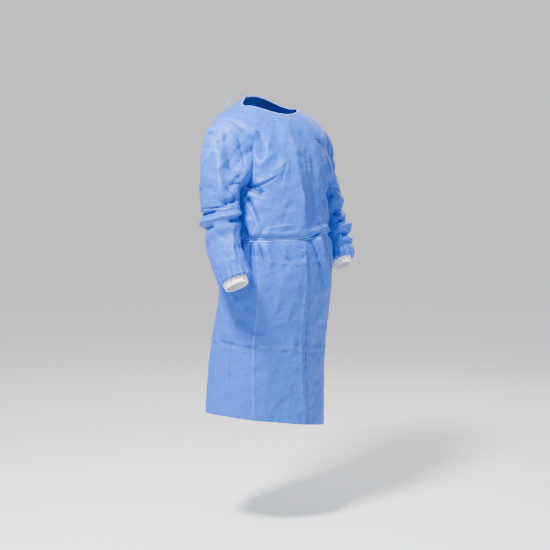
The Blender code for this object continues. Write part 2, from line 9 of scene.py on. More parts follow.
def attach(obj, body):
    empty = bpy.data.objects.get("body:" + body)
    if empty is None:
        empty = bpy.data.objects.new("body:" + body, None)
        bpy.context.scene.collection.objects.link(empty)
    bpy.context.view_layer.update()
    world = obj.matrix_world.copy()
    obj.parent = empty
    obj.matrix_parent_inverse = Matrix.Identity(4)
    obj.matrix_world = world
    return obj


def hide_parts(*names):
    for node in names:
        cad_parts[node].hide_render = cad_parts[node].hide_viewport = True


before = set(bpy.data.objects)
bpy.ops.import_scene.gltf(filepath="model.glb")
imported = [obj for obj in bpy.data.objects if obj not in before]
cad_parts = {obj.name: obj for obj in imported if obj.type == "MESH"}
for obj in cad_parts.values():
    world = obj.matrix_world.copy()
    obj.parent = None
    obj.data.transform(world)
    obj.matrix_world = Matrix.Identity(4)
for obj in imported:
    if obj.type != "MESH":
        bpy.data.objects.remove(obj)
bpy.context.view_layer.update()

# Front panel. One wide piece of blue non-woven cloth, three bonded layers of polypropylene about
# 0.4 mm thick in all, cut off the roll and sewn to the backs at the shoulders and sides. It was
# packed folded flat, so it keeps straight creases between the soft folds of wearing.

# Where the cloth lies, from the neckline down. Angle 0 is the front, 90 the wearer's left.
# front z, side z, back z, half width, side y, front y, back y, squareness
BODY_LEVELS = (
    (-0.028, 0.002, 0.045, 0.108, -0.012, -0.097, 0.078, 2.00),   # 0 neckline
    (-0.050, -0.010, 0.028, 0.138, -0.008, -0.118, 0.098, 2.10),
    (-0.085, -0.026, 0.000, 0.172, -0.004, -0.138, 0.116, 2.30),
    (-0.130, -0.048, -0.045, 0.203, 0.000, -0.155, 0.128, 2.50),  # 3 shoulder tip
    (-0.165, -0.100, -0.100, 0.200, -0.005, -0.165, 0.130, 2.60),
    (-0.205, -0.165, -0.160, 0.193, -0.012, -0.176, 0.126, 2.60),
    (-0.250, -0.225, -0.225, 0.187, -0.020, -0.184, 0.118, 2.50),
    (-0.300, -0.285, -0.285, 0.185, -0.028, -0.188, 0.110, 2.40),  # 7 armpit
    (-0.360, -0.355, -0.355, 0.186, -0.035, -0.190, 0.105, 2.30),
    (-0.410, -0.410, -0.410, 0.190, -0.040, -0.195, 0.103, 2.20),
    (-0.450, -0.450, -0.450, 0.194, -0.045, -0.198, 0.105, 2.15),  # 10 belt
    (-0.500, -0.500, -0.500, 0.199, -0.044, -0.203, 0.112, 2.10),
    (-0.600, -0.600, -0.600, 0.206, -0.042, -0.205, 0.122, 2.05),
    (-0.700, -0.700, -0.700, 0.210, -0.026, -0.186, 0.134, 2.00),
    (-0.800, -0.800, -0.800, 0.217, -0.006, -0.164, 0.150, 2.00),
    (-0.900, -0.900, -0.900, 0.224, 0.002, -0.157, 0.162, 2.00),
    (-1.000, -1.000, -1.000, 0.230, 0.008, -0.153, 0.169, 2.00),
    (-1.088, -1.090, -1.072, 0.234, 0.010, -0.152, 0.172, 2.00),  # 17 hem
)
LEVEL_TIP = 3.0
LEVEL_ARMPIT = 7.0
LEVEL_BELT = 10.0
LEVEL_HEM = 17.0
HEM_SLANT = 0.041            # the hem hangs lower on the wearer's left
BELT_RISE = (0.025, 33.0, 24.0, 1.1)       # height, centre angle, spread, spread in levels
# The belt pulls the cloth in and the cloth hangs over it. depth, level, spread in levels
BELT_PINCH = ((-0.008, 10.00, 0.20), (0.006, 9.48, 0.30), (0.001, 10.66, 0.42))
FOLDS_START = 1.2            # the folds fade out above this level, at the neckline
BODY_DEGREE = 0.0035         # metres of cloth for one degree round the body

# The large folds. angle, height, end angle, end height, depth (out is plus), half width
BODY_FOLDS = (
    (-10.0, -0.085, -4.0, -0.150, 0.006, 0.024),    # long ridge down the chest
    (-4.0, -0.190, -3.0, -0.400, 0.009, 0.026),
    (9.0, -0.130, 14.0, -0.380, -0.006, 0.024),     # hollow beside it
    (-41.0, -0.105, -45.0, -0.170, -0.008, 0.018),  # hollows below the neckline
    (-53.0, -0.120, -58.0, -0.165, -0.006, 0.018),
    (-50.0, -0.258, -18.0, -0.210, 0.005, 0.020),   # ridges from the right armpit
    (-47.0, -0.200, -30.0, -0.168, 0.006, 0.017),
    (-66.0, -0.262, -50.0, -0.293, -0.010, 0.018),  # pulled in below that armpit
    (-66.0, -0.322, -56.0, -0.385, -0.008, 0.018),
    (-58.0, -0.330, -44.0, -0.420, 0.006, 0.018),
    (28.0, -0.110, 40.0, -0.235, -0.006, 0.022),    # wearer's left chest
    (40.0, -0.200, 52.0, -0.380, 0.006, 0.024),
    (60.0, -0.270, 34.0, -0.330, -0.006, 0.020),
    (-63.0, -0.470, -60.0, -0.620, -0.006, 0.022),  # gathers that the belt sends down
    (-34.0, -0.480, -36.0, -0.640, -0.004, 0.024),
    (24.0, -0.480, 22.0, -0.700, -0.004, 0.026),
    (52.0, -0.490, 50.0, -0.860, 0.005, 0.030),
    (-76.0, -0.800, -72.0, -1.080, -0.005, 0.030),  # long waves of the skirt
    (-22.0, -0.760, -16.0, -1.080, -0.004, 0.034),
    (30.0, -0.760, 28.0, -1.080, -0.005, 0.034),
    (104.0, -0.520, 108.0, -1.080, -0.007, 0.032),  # hidden side and back
    (132.0, -0.640, 136.0, -1.080, 0.007, 0.032),
    (-108.0, -0.560, -104.0, -1.080, 0.006, 0.030),
    (-130.0, -0.500, -136.0, -1.080, -0.008, 0.032),
    (118.0, -0.180, 150.0, -0.400, 0.007, 0.024),
    (-116.0, -0.200, -146.0, -0.380, 0.007, 0.024),
    (-128.0, -0.130, -136.0, -0.330, -0.006, 0.022),
    (132.0, -0.120, 128.0, -0.300, -0.006, 0.022),
)

# Creases finer than those. angle, height, end angle, end height, bow in mm, strength at the start
# and at the end, lift in mm (out is plus), half width in mm, lean, sharpness (1 is a folded edge)
BODY_CREASES = (
    (10, -0.128, 6, -0.216, 2, 0.2, 1.0, 2.7, 9, 0.0, 1.3),        # faint second ridge
    (6, -0.216, 15, -0.290, 3, 1.0, 0.1, 2.7, 9, 0.0, 1.3),
    (-39, -0.105, -44, -0.178, 4, 0.3, 0.5, -4.4, 8, -0.3, 1.3),
    (-30, -0.110, -33, -0.160, 2, 0.2, 0.2, 2.7, 9, 0.0, 1.4),
    (-47, -0.198, -33, -0.171, 3, 0.7, 0.2, 4.1, 8, -0.3, 1.2),
    (-24, -0.266, -17, -0.205, 2, 0.1, 0.8, -4.8, 6, 0.4, 1.2),
    (-15, -0.238, -13, -0.190, 2, 0.2, 0.8, 2.7, 6, 0.3, 1.2),
    (-70, -0.262, -51, -0.292, -4, 1.0, 0.1, -7.0, 6, -0.3, 1.1),  # pulled in below the armpit
    (-52, -0.276, -50, -0.306, 0, 0.4, 0.6, -4.1, 5, 0.3, 1.1),
    (-68, -0.318, -55, -0.385, 5, 1.0, 0.2, -7.0, 7, 0.3, 1.2),
    (-62, -0.346, -50, -0.425, -4, 0.6, 0.3, 4.8, 7, 0.0, 1.2),
    (-58, -0.300, -57, -0.438, 0, 0.4, 1.0, 2.9, 6, 0.2, 1.0),     # fold line of the pack
    (-46, -0.374, -8, -0.356, 3, 0.3, 0.3, 3.7, 12, -0.2, 1.4),    # cloth resting on the belt
    (-42, -0.412, -8, -0.404, 6, 0.7, 0.3, 4.8, 7, -0.3, 1.2),
    (-30, -0.424, -12, -0.418, 3, 0.2, 0.4, -3.4, 5, 0.0, 1.2),
    (10, -0.392, 30, -0.382, -3, 0.3, 0.2, 3.1, 9, 0.0, 1.4),
    (-66, -0.436, -72, -0.395, 0, 1.0, 0.0, -6.1, 6, 0.3, 1.2),    # gathers above the belt
    (-60, -0.438, -56, -0.402, 0, 1.0, 0.0, 4.8, 5, 0.0, 1.2),
    (-53, -0.438, -47, -0.402, 0, 1.0, 0.0, -4.4, 5, 0.0, 1.2),
    (22, -0.410, 18, -0.372, 0, 1.0, 0.0, -3.4, 6, 0.0, 1.3),
    (46, -0.418, 54, -0.372, 0, 1.0, 0.0, -5.1, 7, 0.0, 1.3),
    (60, -0.428, 62, -0.380, 0, 1.0, 0.0, 4.4, 7, 0.0, 1.3),
    (-70, -0.464, -67, -0.548, 0, 1.0, 0.0, 5.8, 7, 0.0, 1.2),     # and below it
    (-64, -0.464, -62, -0.570, 0, 1.0, 0.0, -7.0, 6, 0.2, 1.2),
    (-57, -0.464, -54, -0.556, 2, 1.0, 0.0, 6.1, 6, 0.0, 1.1),
    (-52, -0.464, -46, -0.534, 0, 1.0, 0.0, -5.1, 5, 0.0, 1.2),
    (-46, -0.462, -35, -0.552, -3, 0.8, 0.0, 3.4, 8, 0.0, 1.3),
    (-30, -0.460, -12, -0.516, -4, 0.6, 0.2, -2.7, 9, 0.0, 1.4),
    (4, -0.444, 20, -0.560, 4, 0.8, 0.2, -5.1, 9, -0.2, 1.3),
    (14, -0.440, 36, -0.640, 6, 1.0, 0.1, 7.0, 12, 0.3, 1.3),
    (30, -0.440, 52, -0.600, 4, 1.0, 0.1, -5.8, 10, 0.0, 1.3),
    (52, -0.456, 60, -0.600, 0, 1.0, 0.1, 5.8, 9, 0.0, 1.3),
    (-56, -0.462, -50, -0.637, 0, 0.5, 1.0, 2.9, 5, 0.2, 1.0),     # upright fold lines of the pack
    (-50, -0.637, -41, -1.086, 0, 1.0, 0.8, 3.4, 5, 0.3, 1.0),
    (-2, -0.462, -2, -0.660, 0, 0.8, 1.0, 3.2, 5, -0.3, 1.0),
    (-2, -0.660, 8, -1.092, 0, 1.0, 0.8, 3.4, 5, -0.3, 1.0),
    (3, -0.520, 14, -1.092, 0, 0.5, 0.8, -3.4, 6, 0.0, 1.1),
    (-79, -0.760, -68, -1.080, 0, 0.3, 0.7, 2.7, 5, 0.0, 1.0),
    (50, -0.640, 62, -1.110, 0, 0.5, 0.8, 2.7, 5, 0.0, 1.0),
    (-90, -0.792, -42, -0.812, -3, 0.9, 0.9, -3.7, 5, 0.2, 1.0),   # level fold lines of the pack
    (-42, -0.812, 8, -0.832, 0, 1.0, 0.9, 3.9, 4, 0.5, 1.0),
    (8, -0.832, 60, -0.848, 0, 0.9, 0.5, 3.4, 5, 0.4, 1.0),
    (-20, -0.846, -4, -0.832, -2, 0.3, 0.3, 3.1, 5, 0.2, 1.0),
    (-46, -0.512, -4, -0.526, -9, 0.4, 0.9, 3.1, 5, 0.3, 1.1),
    (-4, -0.526, 44, -0.520, 0, 0.8, 0.2, 2.0, 6, 0.0, 1.1),
    (-6, -0.433, -2, -0.433, 0, 1.0, 1.0, 3.1, 4, 0.0, 1.6),       # where two fold lines cross
    (-6, -0.486, -2, -0.486, 0, 1.0, 1.0, 4.1, 4, 0.0, 1.6),
    (-6, -0.517, -2, -0.517, 0, 1.0, 1.0, 4.1, 4, 0.0, 1.6),
    (-40, -0.600, -12, -0.690, 8, 0.2, 0.2, -3.4, 22, 0.0, 1.8),   # slack of the skirt
    (-36, -0.880, -12, -1.000, -6, 0.2, 0.2, 3.4, 26, 0.0, 1.8),
    (14, -0.880, 30, -1.040, 6, 0.2, 0.2, -4.1, 24, 0.0, 1.8),
    (-70, -0.600, -58, -0.760, 6, 0.2, 0.3, -4.4, 20, 0.0, 1.7),
    (26, -0.700, 44, -0.830, 0, 0.3, 0.3, 4.1, 20, 0.0, 1.7),
    (24, -0.105, 50, -0.160, 6, 0.2, 0.5, -4.4, 9, 0.0, 1.3),      # wearer's left chest
    (34, -0.160, 60, -0.262, -6, 0.2, 0.8, 4.4, 10, 0.3, 1.3),
    (64, -0.262, 42, -0.300, 3, 1.0, 0.1, -6.8, 7, 0.0, 1.2),
    (64, -0.310, 50, -0.400, 4, 0.8, 0.2, 5.1, 9, 0.0, 1.3),
    (30, -0.250, 36, -0.350, 4, 0.2, 0.2, -3.1, 10, 0.0, 1.4),
    (98, -0.300, 112, -0.420, 5, 0.8, 0.4, -6.1, 8, 0.2, 1.2),     # sides and backs
    (112, -0.160, 138, -0.250, -6, 0.8, 0.2, 5.1, 9, -0.3, 1.2),
    (116, -0.250, 150, -0.290, 6, 0.9, 0.1, -5.1, 8, 0.2, 1.2),
    (106, -0.466, 110, -0.600, 0, 1.0, 0.0, 5.8, 8, 0.0, 1.2),
    (118, -0.466, 120, -0.640, 3, 1.0, 0.0, -6.1, 8, 0.0, 1.2),
    (130, -0.466, 127, -0.580, 0, 1.0, 0.0, 5.4, 7, 0.0, 1.2),
    (144, -0.466, 140, -0.620, -3, 1.0, 0.0, -4.1, 8, 0.0, 1.2),
    (110, -0.436, 104, -0.370, 0, 1.0, 0.0, -5.1, 7, 0.0, 1.2),
    (124, -0.436, 128, -0.360, 0, 1.0, 0.0, 4.8, 7, 0.0, 1.2),
    (140, -0.436, 137, -0.376, 0, 1.0, 0.0, -3.7, 7, 0.0, 1.2),
    (102, -0.600, 106, -1.080, 0, 0.4, 0.8, 3.1, 5, 0.0, 1.0),
    (138, -0.300, 141, -1.076, 0, 0.6, 0.8, 2.7, 5, 0.2, 1.0),
    (60, -0.848, 138, -0.838, 3, 0.6, 0.8, 3.1, 5, 0.4, 1.0),
    (138, -0.838, 222, -0.800, 0, 0.8, 0.8, 2.2, 5, 0.4, 1.0),
    (120, -0.516, 170, -0.512, 0, 0.4, 0.4, 2.0, 5, 0.3, 1.1),
    (-98, -0.300, -114, -0.400, -5, 0.8, 0.4, -6.1, 8, 0.2, 1.2),
    (-114, -0.170, -142, -0.230, 5, 0.8, 0.2, 4.8, 9, -0.3, 1.2),
    (-112, -0.240, -146, -0.300, -6, 0.9, 0.1, -5.4, 8, 0.2, 1.2),
    (-150, -0.130, -158, -0.260, 5, 0.3, 0.2, 3.1, 9, 0.0, 1.3),
    (-100, -0.466, -104, -0.590, 0, 1.0, 0.0, -5.8, 8, 0.0, 1.2),
    (-112, -0.466, -110, -0.640, 3, 1.0, 0.0, 5.8, 8, 0.0, 1.2),
    (-124, -0.466, -128, -0.600, 0, 1.0, 0.0, -5.8, 7, 0.0, 1.2),
    (-140, -0.466, -144, -0.620, 0, 1.0, 0.0, 4.4, 8, 0.0, 1.2),
    (-156, -0.466, -160, -0.560, 0, 1.0, 0.0, -2.7, 7, 0.0, 1.2),
    (-106, -0.436, -102, -0.380, 0, 1.0, 0.0, 5.1, 7, 0.0, 1.2),
    (-120, -0.436, -124, -0.366, 0, 1.0, 0.0, -5.1, 7, 0.0, 1.2),
    (-136, -0.436, -134, -0.376, 0, 1.0, 0.0, 4.4, 7, 0.0, 1.2),
    (-138, -0.800, -90, -0.792, 3, 0.8, 0.8, 3.1, 5, 0.4, 1.0),
    (-104, -0.520, -108, -1.080, 0, 0.4, 0.8, 2.9, 5, 0.0, 1.0),
    (-142, -0.250, -146, -1.076, 0, 0.6, 0.8, 2.7, 5, 0.2, 1.0),
    (-118, -0.900, -128, -1.040, 4, 0.2, 0.2, -4.4, 22, 0.0, 1.8),
    (118, -0.700, 126, -0.820, 4, 0.2, 0.2, -4.1, 20, 0.0, 1.8),
    (-10, -0.085, -5, -0.151, 0, 0.1, 1.0, 8.0, 30, -0.3, 1.0),    # long ridge, two planes
    (-5, -0.151, -4, -0.311, -4, 1.0, 1.0, 9.0, 32, -0.3, 1.0),
    (-4, -0.311, -1, -0.425, 0, 1.0, 0.3, 7.0, 30, -0.2, 1.0),
    (-47, -0.105, -56, -0.150, 3, 0.3, 1.0, -8.0, 13, 0.3, 1.0),   # pulled in beside the armhole
    (-56, -0.150, -60, -0.215, 0, 1.0, 0.2, -7.0, 13, 0.2, 1.0),
    (-30, -0.106, -40, -0.180, 4, 0.2, 0.6, 5.0, 16, -0.3, 1.0),
    (-20, -0.200, -23, -0.300, 6, 0.9, 0.1, 5.0, 24, 0.4, 1.0),
    (14, -0.440, 34, -0.700, 8, 1.0, 0.1, 9.0, 26, 0.3, 1.0),
    (-34, -0.462, -8, -0.545, -6, 0.8, 0.1, -6.0, 22, 0.2, 1.0),
    (-50, -0.620, -42, -1.085, 0, 0.6, 1.0, 5.0, 34, 0.3, 1.0),    # planes beside the pack folds
    (-2, -0.560, 9, -1.090, 0, 0.5, 1.0, 6.0, 34, -0.3, 1.0),
    (-74, -0.700, -70, -1.080, 0, 0.2, 1.0, -5.0, 30, 0.0, 1.0),
    (-56, -0.262, -16, -0.208, -5, 1.0, 0.2, 5.0, 9, -0.4, 1.0),   # ridge from the armpit
    (-58, -0.276, -24, -0.226, -5, 1.0, 0.1, -5.0, 7, 0.3, 1.0),
    (-36, -0.240, -14, -0.190, 3, 0.2, 0.7, 3.0, 8, 0.3, 1.0),
    (-66, -0.300, -40, -0.320, 4, 1.0, 0.1, 4.0, 8, 0.3, 1.0),
)
BELT_SPAN = 0.14             # levels over which the creases die out under the belt
CRUMPLE = ((0.0015, 0.090, 3.1), (0.0007, 0.036, 7.7))   # height, size, place in the noise


def linear(code):
    """An sRGB hex colour in linear light."""
    shares = [int(code[place:place + 2], 16) / 255 for place in (0, 2, 4)]
    return [s / 12.92 if s <= 0.04045 else ((s + 0.055) / 1.055) ** 2.4 for s in shares] + [1.0]


def add_node(tree, kind, settings=None, inputs=None):
    """One node with its settings, and with values or other nodes' outputs on its inputs."""
    node = tree.nodes.new(kind)
    for name, value in (settings or {}).items():
        setattr(node, name, value)
    for name, value in (inputs or {}).items():
        if isinstance(value, bpy.types.NodeSocket):
            tree.links.new(value, node.inputs[name])
        else:
            node.inputs[name].default_value = value
    return node


def between_rows(table, place):
    """Smooth values between the rows of a table, at an array of places counted in rows."""
    rows = np.array(table)
    last = len(rows) - 1
    place = np.clip(place, 0.0, last)
    row = np.minimum(place.astype(int), last - 1)
    step = (place - row)[..., None]
    before, here = rows[np.maximum(row - 1, 0)], rows[row]
    after, far = rows[row + 1], rows[np.minimum(row + 2, last)]
    values = 0.5 * (2 * here + (after - before) * step
                    + (2 * before - 5 * here + 4 * after - far) * step ** 2
                    + (3 * here - before - 3 * after + far) * step ** 3)
    return np.moveaxis(values, -1, 0)


def bump(distance, spread):
    return np.exp(-(distance / spread) ** 2)


def ease(low, high, value):
    step = np.clip((value - low) / (high - low), 0.0, 1.0)
    return step * step * (3 - 2 * step)


def unit(ways):
    return ways / np.linalg.norm(ways, axis=-1, keepdims=True)


def smooth_cloth(angle, level):
    """Points of the cloth round the body with no fold in it."""
    (front_z, side_z, back_z, half_width, side_y,
     front_y, back_y, squareness) = between_rows(BODY_LEVELS, level)
    sine, cosine = np.sin(np.radians(angle)), np.cos(np.radians(angle))
    cosine = np.where(np.abs(np.abs(angle) - 90.0) < 1e-9, 0.0, cosine)
    exponent = 2.0 / squareness
    x = half_width * np.sign(sine) * np.abs(sine) ** exponent
    end_y = np.where(cosine > 0, front_y, back_y)
    end_z = np.where(cosine > 0, front_z, back_z)
    y = side_y + (end_y - side_y) * np.abs(cosine) ** exponent
    z = side_z + (end_z - side_z) * cosine ** 2
    z = z - HEM_SLANT * sine * ease(LEVEL_BELT + 1, LEVEL_HEM, level)
    rise, centre, spread, level_spread = BELT_RISE
    z = z + rise * bump(angle - centre, spread) * bump(level - LEVEL_BELT, level_spread)
    return np.stack([x, y, z], -1)


def outward(cloth_at, angle, level):
    """Directions that face out of a cloth given as a function."""
    across = cloth_at(angle + 0.4, level) - cloth_at(angle - 0.4, level)
    down = (cloth_at(angle, np.minimum(level + 0.02, LEVEL_HEM))
            - cloth_at(angle, np.maximum(level - 0.02, 0.0)))
    return unit(np.cross(down, across))


def fold_lift(across, down, folds, degree, row_length, wraps):
    """How far the large folds move the cloth out."""
    total = np.zeros(np.broadcast(across, down).shape)
    for angle, row, end_angle, end_row, depth, half_width in folds:
        off = (across - angle + 180.0) % 360.0 - 180.0 if wraps else across - angle
        x, y = off * degree, (down - row) * row_length
        line_x, line_y = (end_angle - angle) * degree, (end_row - row) * row_length
        share = np.clip((x * line_x + y * line_y) / (line_x ** 2 + line_y ** 2), 0.0, 1.0)
        total += depth * bump(np.hypot(x - line_x * share, y - line_y * share), half_width)
    return total


def metres_along(points, axis):
    """Distance travelled along a grid of points, from its first row or column."""
    steps = np.linalg.norm(np.diff(points, axis=axis), axis=-1)
    start = np.zeros_like(np.take(steps, [0], axis=axis))
    return np.cumsum(np.concatenate([start, steps], axis=axis), axis=axis)


def girth(angle):
    """Metres round the body at the ribs, from the front to an angle."""
    steps = np.linspace(-360.0, 360.0, 2881)
    ring = smooth_cloth(steps, np.full_like(steps, LEVEL_ARMPIT + 1.5))
    travelled = metres_along(ring[None, :, :2], 1)[0]
    return np.interp(angle, steps, travelled) - travelled[len(steps) // 2]


def crease_lift(across, down, creases, around, row_length):
    """How far the finer creases move the cloth out. around gives metres for an angle."""
    total = np.zeros(np.broadcast(across, down).shape)
    for (angle, row, end_angle, end_row, bow, start, end,
         lift, half_width, lean, sharpness) in creases:
        line_x, line_y = around(end_angle) - around(angle), (end_row - row) * row_length
        length = math.hypot(line_x, line_y)
        middle = (angle + end_angle) / 2
        unwound = (across - middle + 180.0) % 360.0 - 180.0 + middle
        x, y = around(unwound) - around(angle), (down - row) * row_length
        along = (x * line_x + y * line_y) / length ** 2
        share = np.clip(along, 0.0, 1.0)
        aside = (y * line_x - x * line_y) / length - 0.004 * bow * share * (1 - share)
        past = np.abs(along - share) * length
        strength = (start * (1 - share) * (1 - 2 * share) + 4 * share * (1 - share)
                    + end * share * (2 * share - 1))
        spread = 0.001 * half_width * (1 + lean * np.tanh(aside / (0.0004 * half_width)))
        total += (0.001 * lift * np.maximum(strength, 0.0)
                  * np.exp(-(np.abs(aside) / spread) ** sharpness)
                  * bump(past, 0.001 * half_width))
    return total


def crumple(points, layers):
    """A slight unevenness all over the cloth."""
    flat = points.reshape(-1, 3)
    total = np.zeros(len(flat))
    for height, size, place in layers:
        waves = np.array([noise.noise(Vector(point)) for point in flat / size + place])
        total += height * (1.0 - 2.2 * np.abs(waves))
    return total.reshape(points.shape[:-1])


def worn_cloth(angle, level):
    """Points of the outer face of the cloth round the body, folds and creases and all."""
    place = smooth_cloth(angle, level)
    down = place[..., 2]
    folds = fold_lift(angle, down, BODY_FOLDS, BODY_DEGREE, 1.0, False)
    fine = crease_lift(angle, down, BODY_CREASES, girth, 1.0) + crumple(place, CRUMPLE)
    out = (folds + fine * (1 - bump(level - LEVEL_BELT, BELT_SPAN))) * ease(0.0, FOLDS_START, level)
    for depth, at_level, spread in BELT_PINCH:
        out = out + depth * bump(level - at_level, spread)
    return place + outward(smooth_cloth, angle, level) * out[..., None]


# Where the panels end. Degrees that each armhole takes off the front and off a back panel.
ARMHOLE_FRONT = 34.0
ARMHOLE_BACK = 30.0
ARMHOLE_ROUNDNESS = 2.4
ARMHOLE_CELLS = 72
SIDE_ANGLE = 90.0            # shoulder seams and side seams
FRONT_COLUMNS = 176
SEAM_GAP = 0.0001
SEAM_TURN = ((0.0004, 0.0010), (0.0002, 0.0030), (0.0002, 0.0060))  # seam allowance: back, in
SEAM_DIP = 0.0003            # the cloth rounds in to its seams
SEAM_DIP_SPAN = 0.006
CLOTH_THICK = 0.0006
BEND_REACH = 2               # grid cells between the points that a bend is measured on


def cloth_levels():
    """Levels of a panel's rows, a little closer by the belt and even beside the armholes."""
    above = np.linspace(0.0, LEVEL_TIP, 27)[:-1]
    beside = np.linspace(LEVEL_TIP, LEVEL_ARMPIT, ARMHOLE_CELLS + 1)
    steps = ((LEVEL_ARMPIT, 9.0, 30), (9.0, 11.0, 30), (11.0, LEVEL_HEM, 98))
    below = [np.linspace(low, high, count + 1)[1:] for low, high, count in steps]
    return np.concatenate([above, beside] + below)


def armhole_cut(level, most):
    """Degrees that the armhole takes off a panel at a level."""
    half = (LEVEL_ARMPIT - LEVEL_TIP) / 2
    place = np.clip((level - LEVEL_TIP - half) / half, -1.0, 1.0)
    return most * (1 - np.abs(place) ** ARMHOLE_ROUNDNESS) ** 0.5


def even_angles(level, start, end, columns):
    """Angles of a panel's columns, row by row, evenly spaced on the cloth."""
    dense = start + (end - start) * np.linspace(0.0, 1.0, 1501)[None]
    travelled = metres_along(smooth_cloth(dense, level + 0 * dense), 1)
    even = np.linspace(0.0, 1.0, columns)
    return np.stack([np.interp(even * row[-1], row, angles)
                     for row, angles in zip(travelled, dense)])


def grid_outward(points, closed=False):
    """Directions square to a grid of points. A closed grid runs on from its last column."""
    if closed:
        across = np.roll(points, -1, axis=1) - np.roll(points, 1, axis=1)
    else:
        across = np.gradient(points, axis=1)
    return unit(np.cross(np.gradient(points, axis=0), across))


def sew_sides(points, first, last):
    """Rounds the sewn sides of a grid in and turns their allowances to the inside."""
    normals = grid_outward(points)
    travelled = metres_along(points, 1)
    for sewn, from_edge in ((first, travelled), (last, travelled[:, -1:] - travelled)):
        if sewn:
            points = points - normals * (SEAM_DIP * bump(from_edge, SEAM_DIP_SPAN))[..., None]
    parts = [points]
    for sewn, edge, inner in ((first, 0, 1), (last, -1, -2)):
        if not sewn:
            continue
        into = unit(points[:, inner] - points[:, edge])
        turned = [points[:, edge] + into * back - normals[:, edge] * depth
                  for back, depth in SEAM_TURN]
        if edge == 0:
            parts.insert(0, np.stack(turned[::-1], 1))
        else:
            parts.append(np.stack(turned, 1))
    return np.concatenate(parts, 1)


def bend_of(points):
    """Millimetres that each point of a grid lies deeper than the cloth round it."""
    padded = np.pad(points, ((BEND_REACH, BEND_REACH), (BEND_REACH, BEND_REACH), (0, 0)), "edge")
    reach = 2 * BEND_REACH
    around = (padded[:-reach, BEND_REACH:-BEND_REACH] + padded[reach:, BEND_REACH:-BEND_REACH]
              + padded[BEND_REACH:-BEND_REACH, :-reach] + padded[BEND_REACH:-BEND_REACH, reach:])
    return 1000.0 * ((around / 4 - points) * grid_outward(points)).sum(-1)


def lay_cloth(name, points, closed=False, closed_rows=False):
    """A sheet of cloth: a grid laid on rows of points, its flat size in metres as its UV map,
    and how sharply it is folded in or out as its attribute bend."""
    if closed:
        points = np.concatenate([points, points[:, :1]], 1)
    if closed_rows:
        points = np.concatenate([points, points[:1]], 0)
    rows, columns = points.shape[:2]
    grid = bmesh.new()
    bmesh.ops.create_grid(grid, x_segments=columns - 1, y_segments=rows - 1, size=0.5)
    data = bpy.data.meshes.new(name)
    grid.to_mesh(data)
    grid.free()
    flat = np.empty(len(data.vertices) * 3)
    data.vertices.foreach_get("co", flat)
    flat = flat.reshape(-1, 3) + 0.5
    column = np.rint(flat[:, 0] * (columns - 1)).astype(int)
    row = rows - 1 - np.rint(flat[:, 1] * (rows - 1)).astype(int)
    data.vertices.foreach_set("co", points[row, column].ravel())
    on_cloth = np.stack([metres_along(points, 1), -metres_along(points, 0)], -1)
    corner = np.empty(len(data.loops), dtype=int)
    data.loops.foreach_get("vertex_index", corner)
    bend = data.attributes.new("bend", "FLOAT", "POINT")
    bend.data.foreach_set("value", bend_of(points)[row, column])
    layer = data.uv_layers.new(name="cloth")
    layer.data.foreach_set("uv", on_cloth[row[corner], column[corner]].ravel())
    finish = bmesh.new()
    finish.from_mesh(data)
    if closed or closed_rows:
        bmesh.ops.remove_doubles(finish, verts=finish.verts[:], dist=1e-7)
    for face in finish.faces:
        face.smooth = True
    finish.to_mesh(data)
    finish.free()
    made = bpy.data.objects.new(name, data)
    bpy.context.scene.collection.objects.link(made)
    return made


def give_thickness(piece, thickness, offset=-1.0):
    wall = piece.modifiers.new("thickness", "SOLIDIFY")
    wall.thickness = thickness
    wall.offset = offset


def hand_over(piece, material, slot, *nodes):
    """The piece takes its finish, rides with the gown and stands for its solids."""
    piece.data.materials.clear()
    piece.data.materials.append(material)
    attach(piece, "root")
    if nodes:
        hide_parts(*nodes)


# Spunbonded polypropylene, calendered with fine bond points. Smooth, a little waxy: a soft wide
# sheen on the crests of the folds, no thread structure, faint clouds where the fibres lie denser.
CLOTH_BLUE = "265ac4"
CLOTH_DENSE = "2053bb"
CLOTH_PAINTED_FOLD_SHADE = "123c92"      # painted shade, deep in a sharp fold
CLOTH_CREST_WHITENING_AND_HIGHLIGHT = "5584e6"      # on sharp crests: paler where the bonded fibres crack, and partly a painted highlight
BOND_SPACING = 0.0026        # real ones are about 1.2 mm apart, too fine to show
FIBRE_CLOUD = 0.011
PACK_FACET = 0.060           # metres across the flat faces between a packed gown's fine creases
PACK_LIFT = 0.0075           # how far they stand over those creases


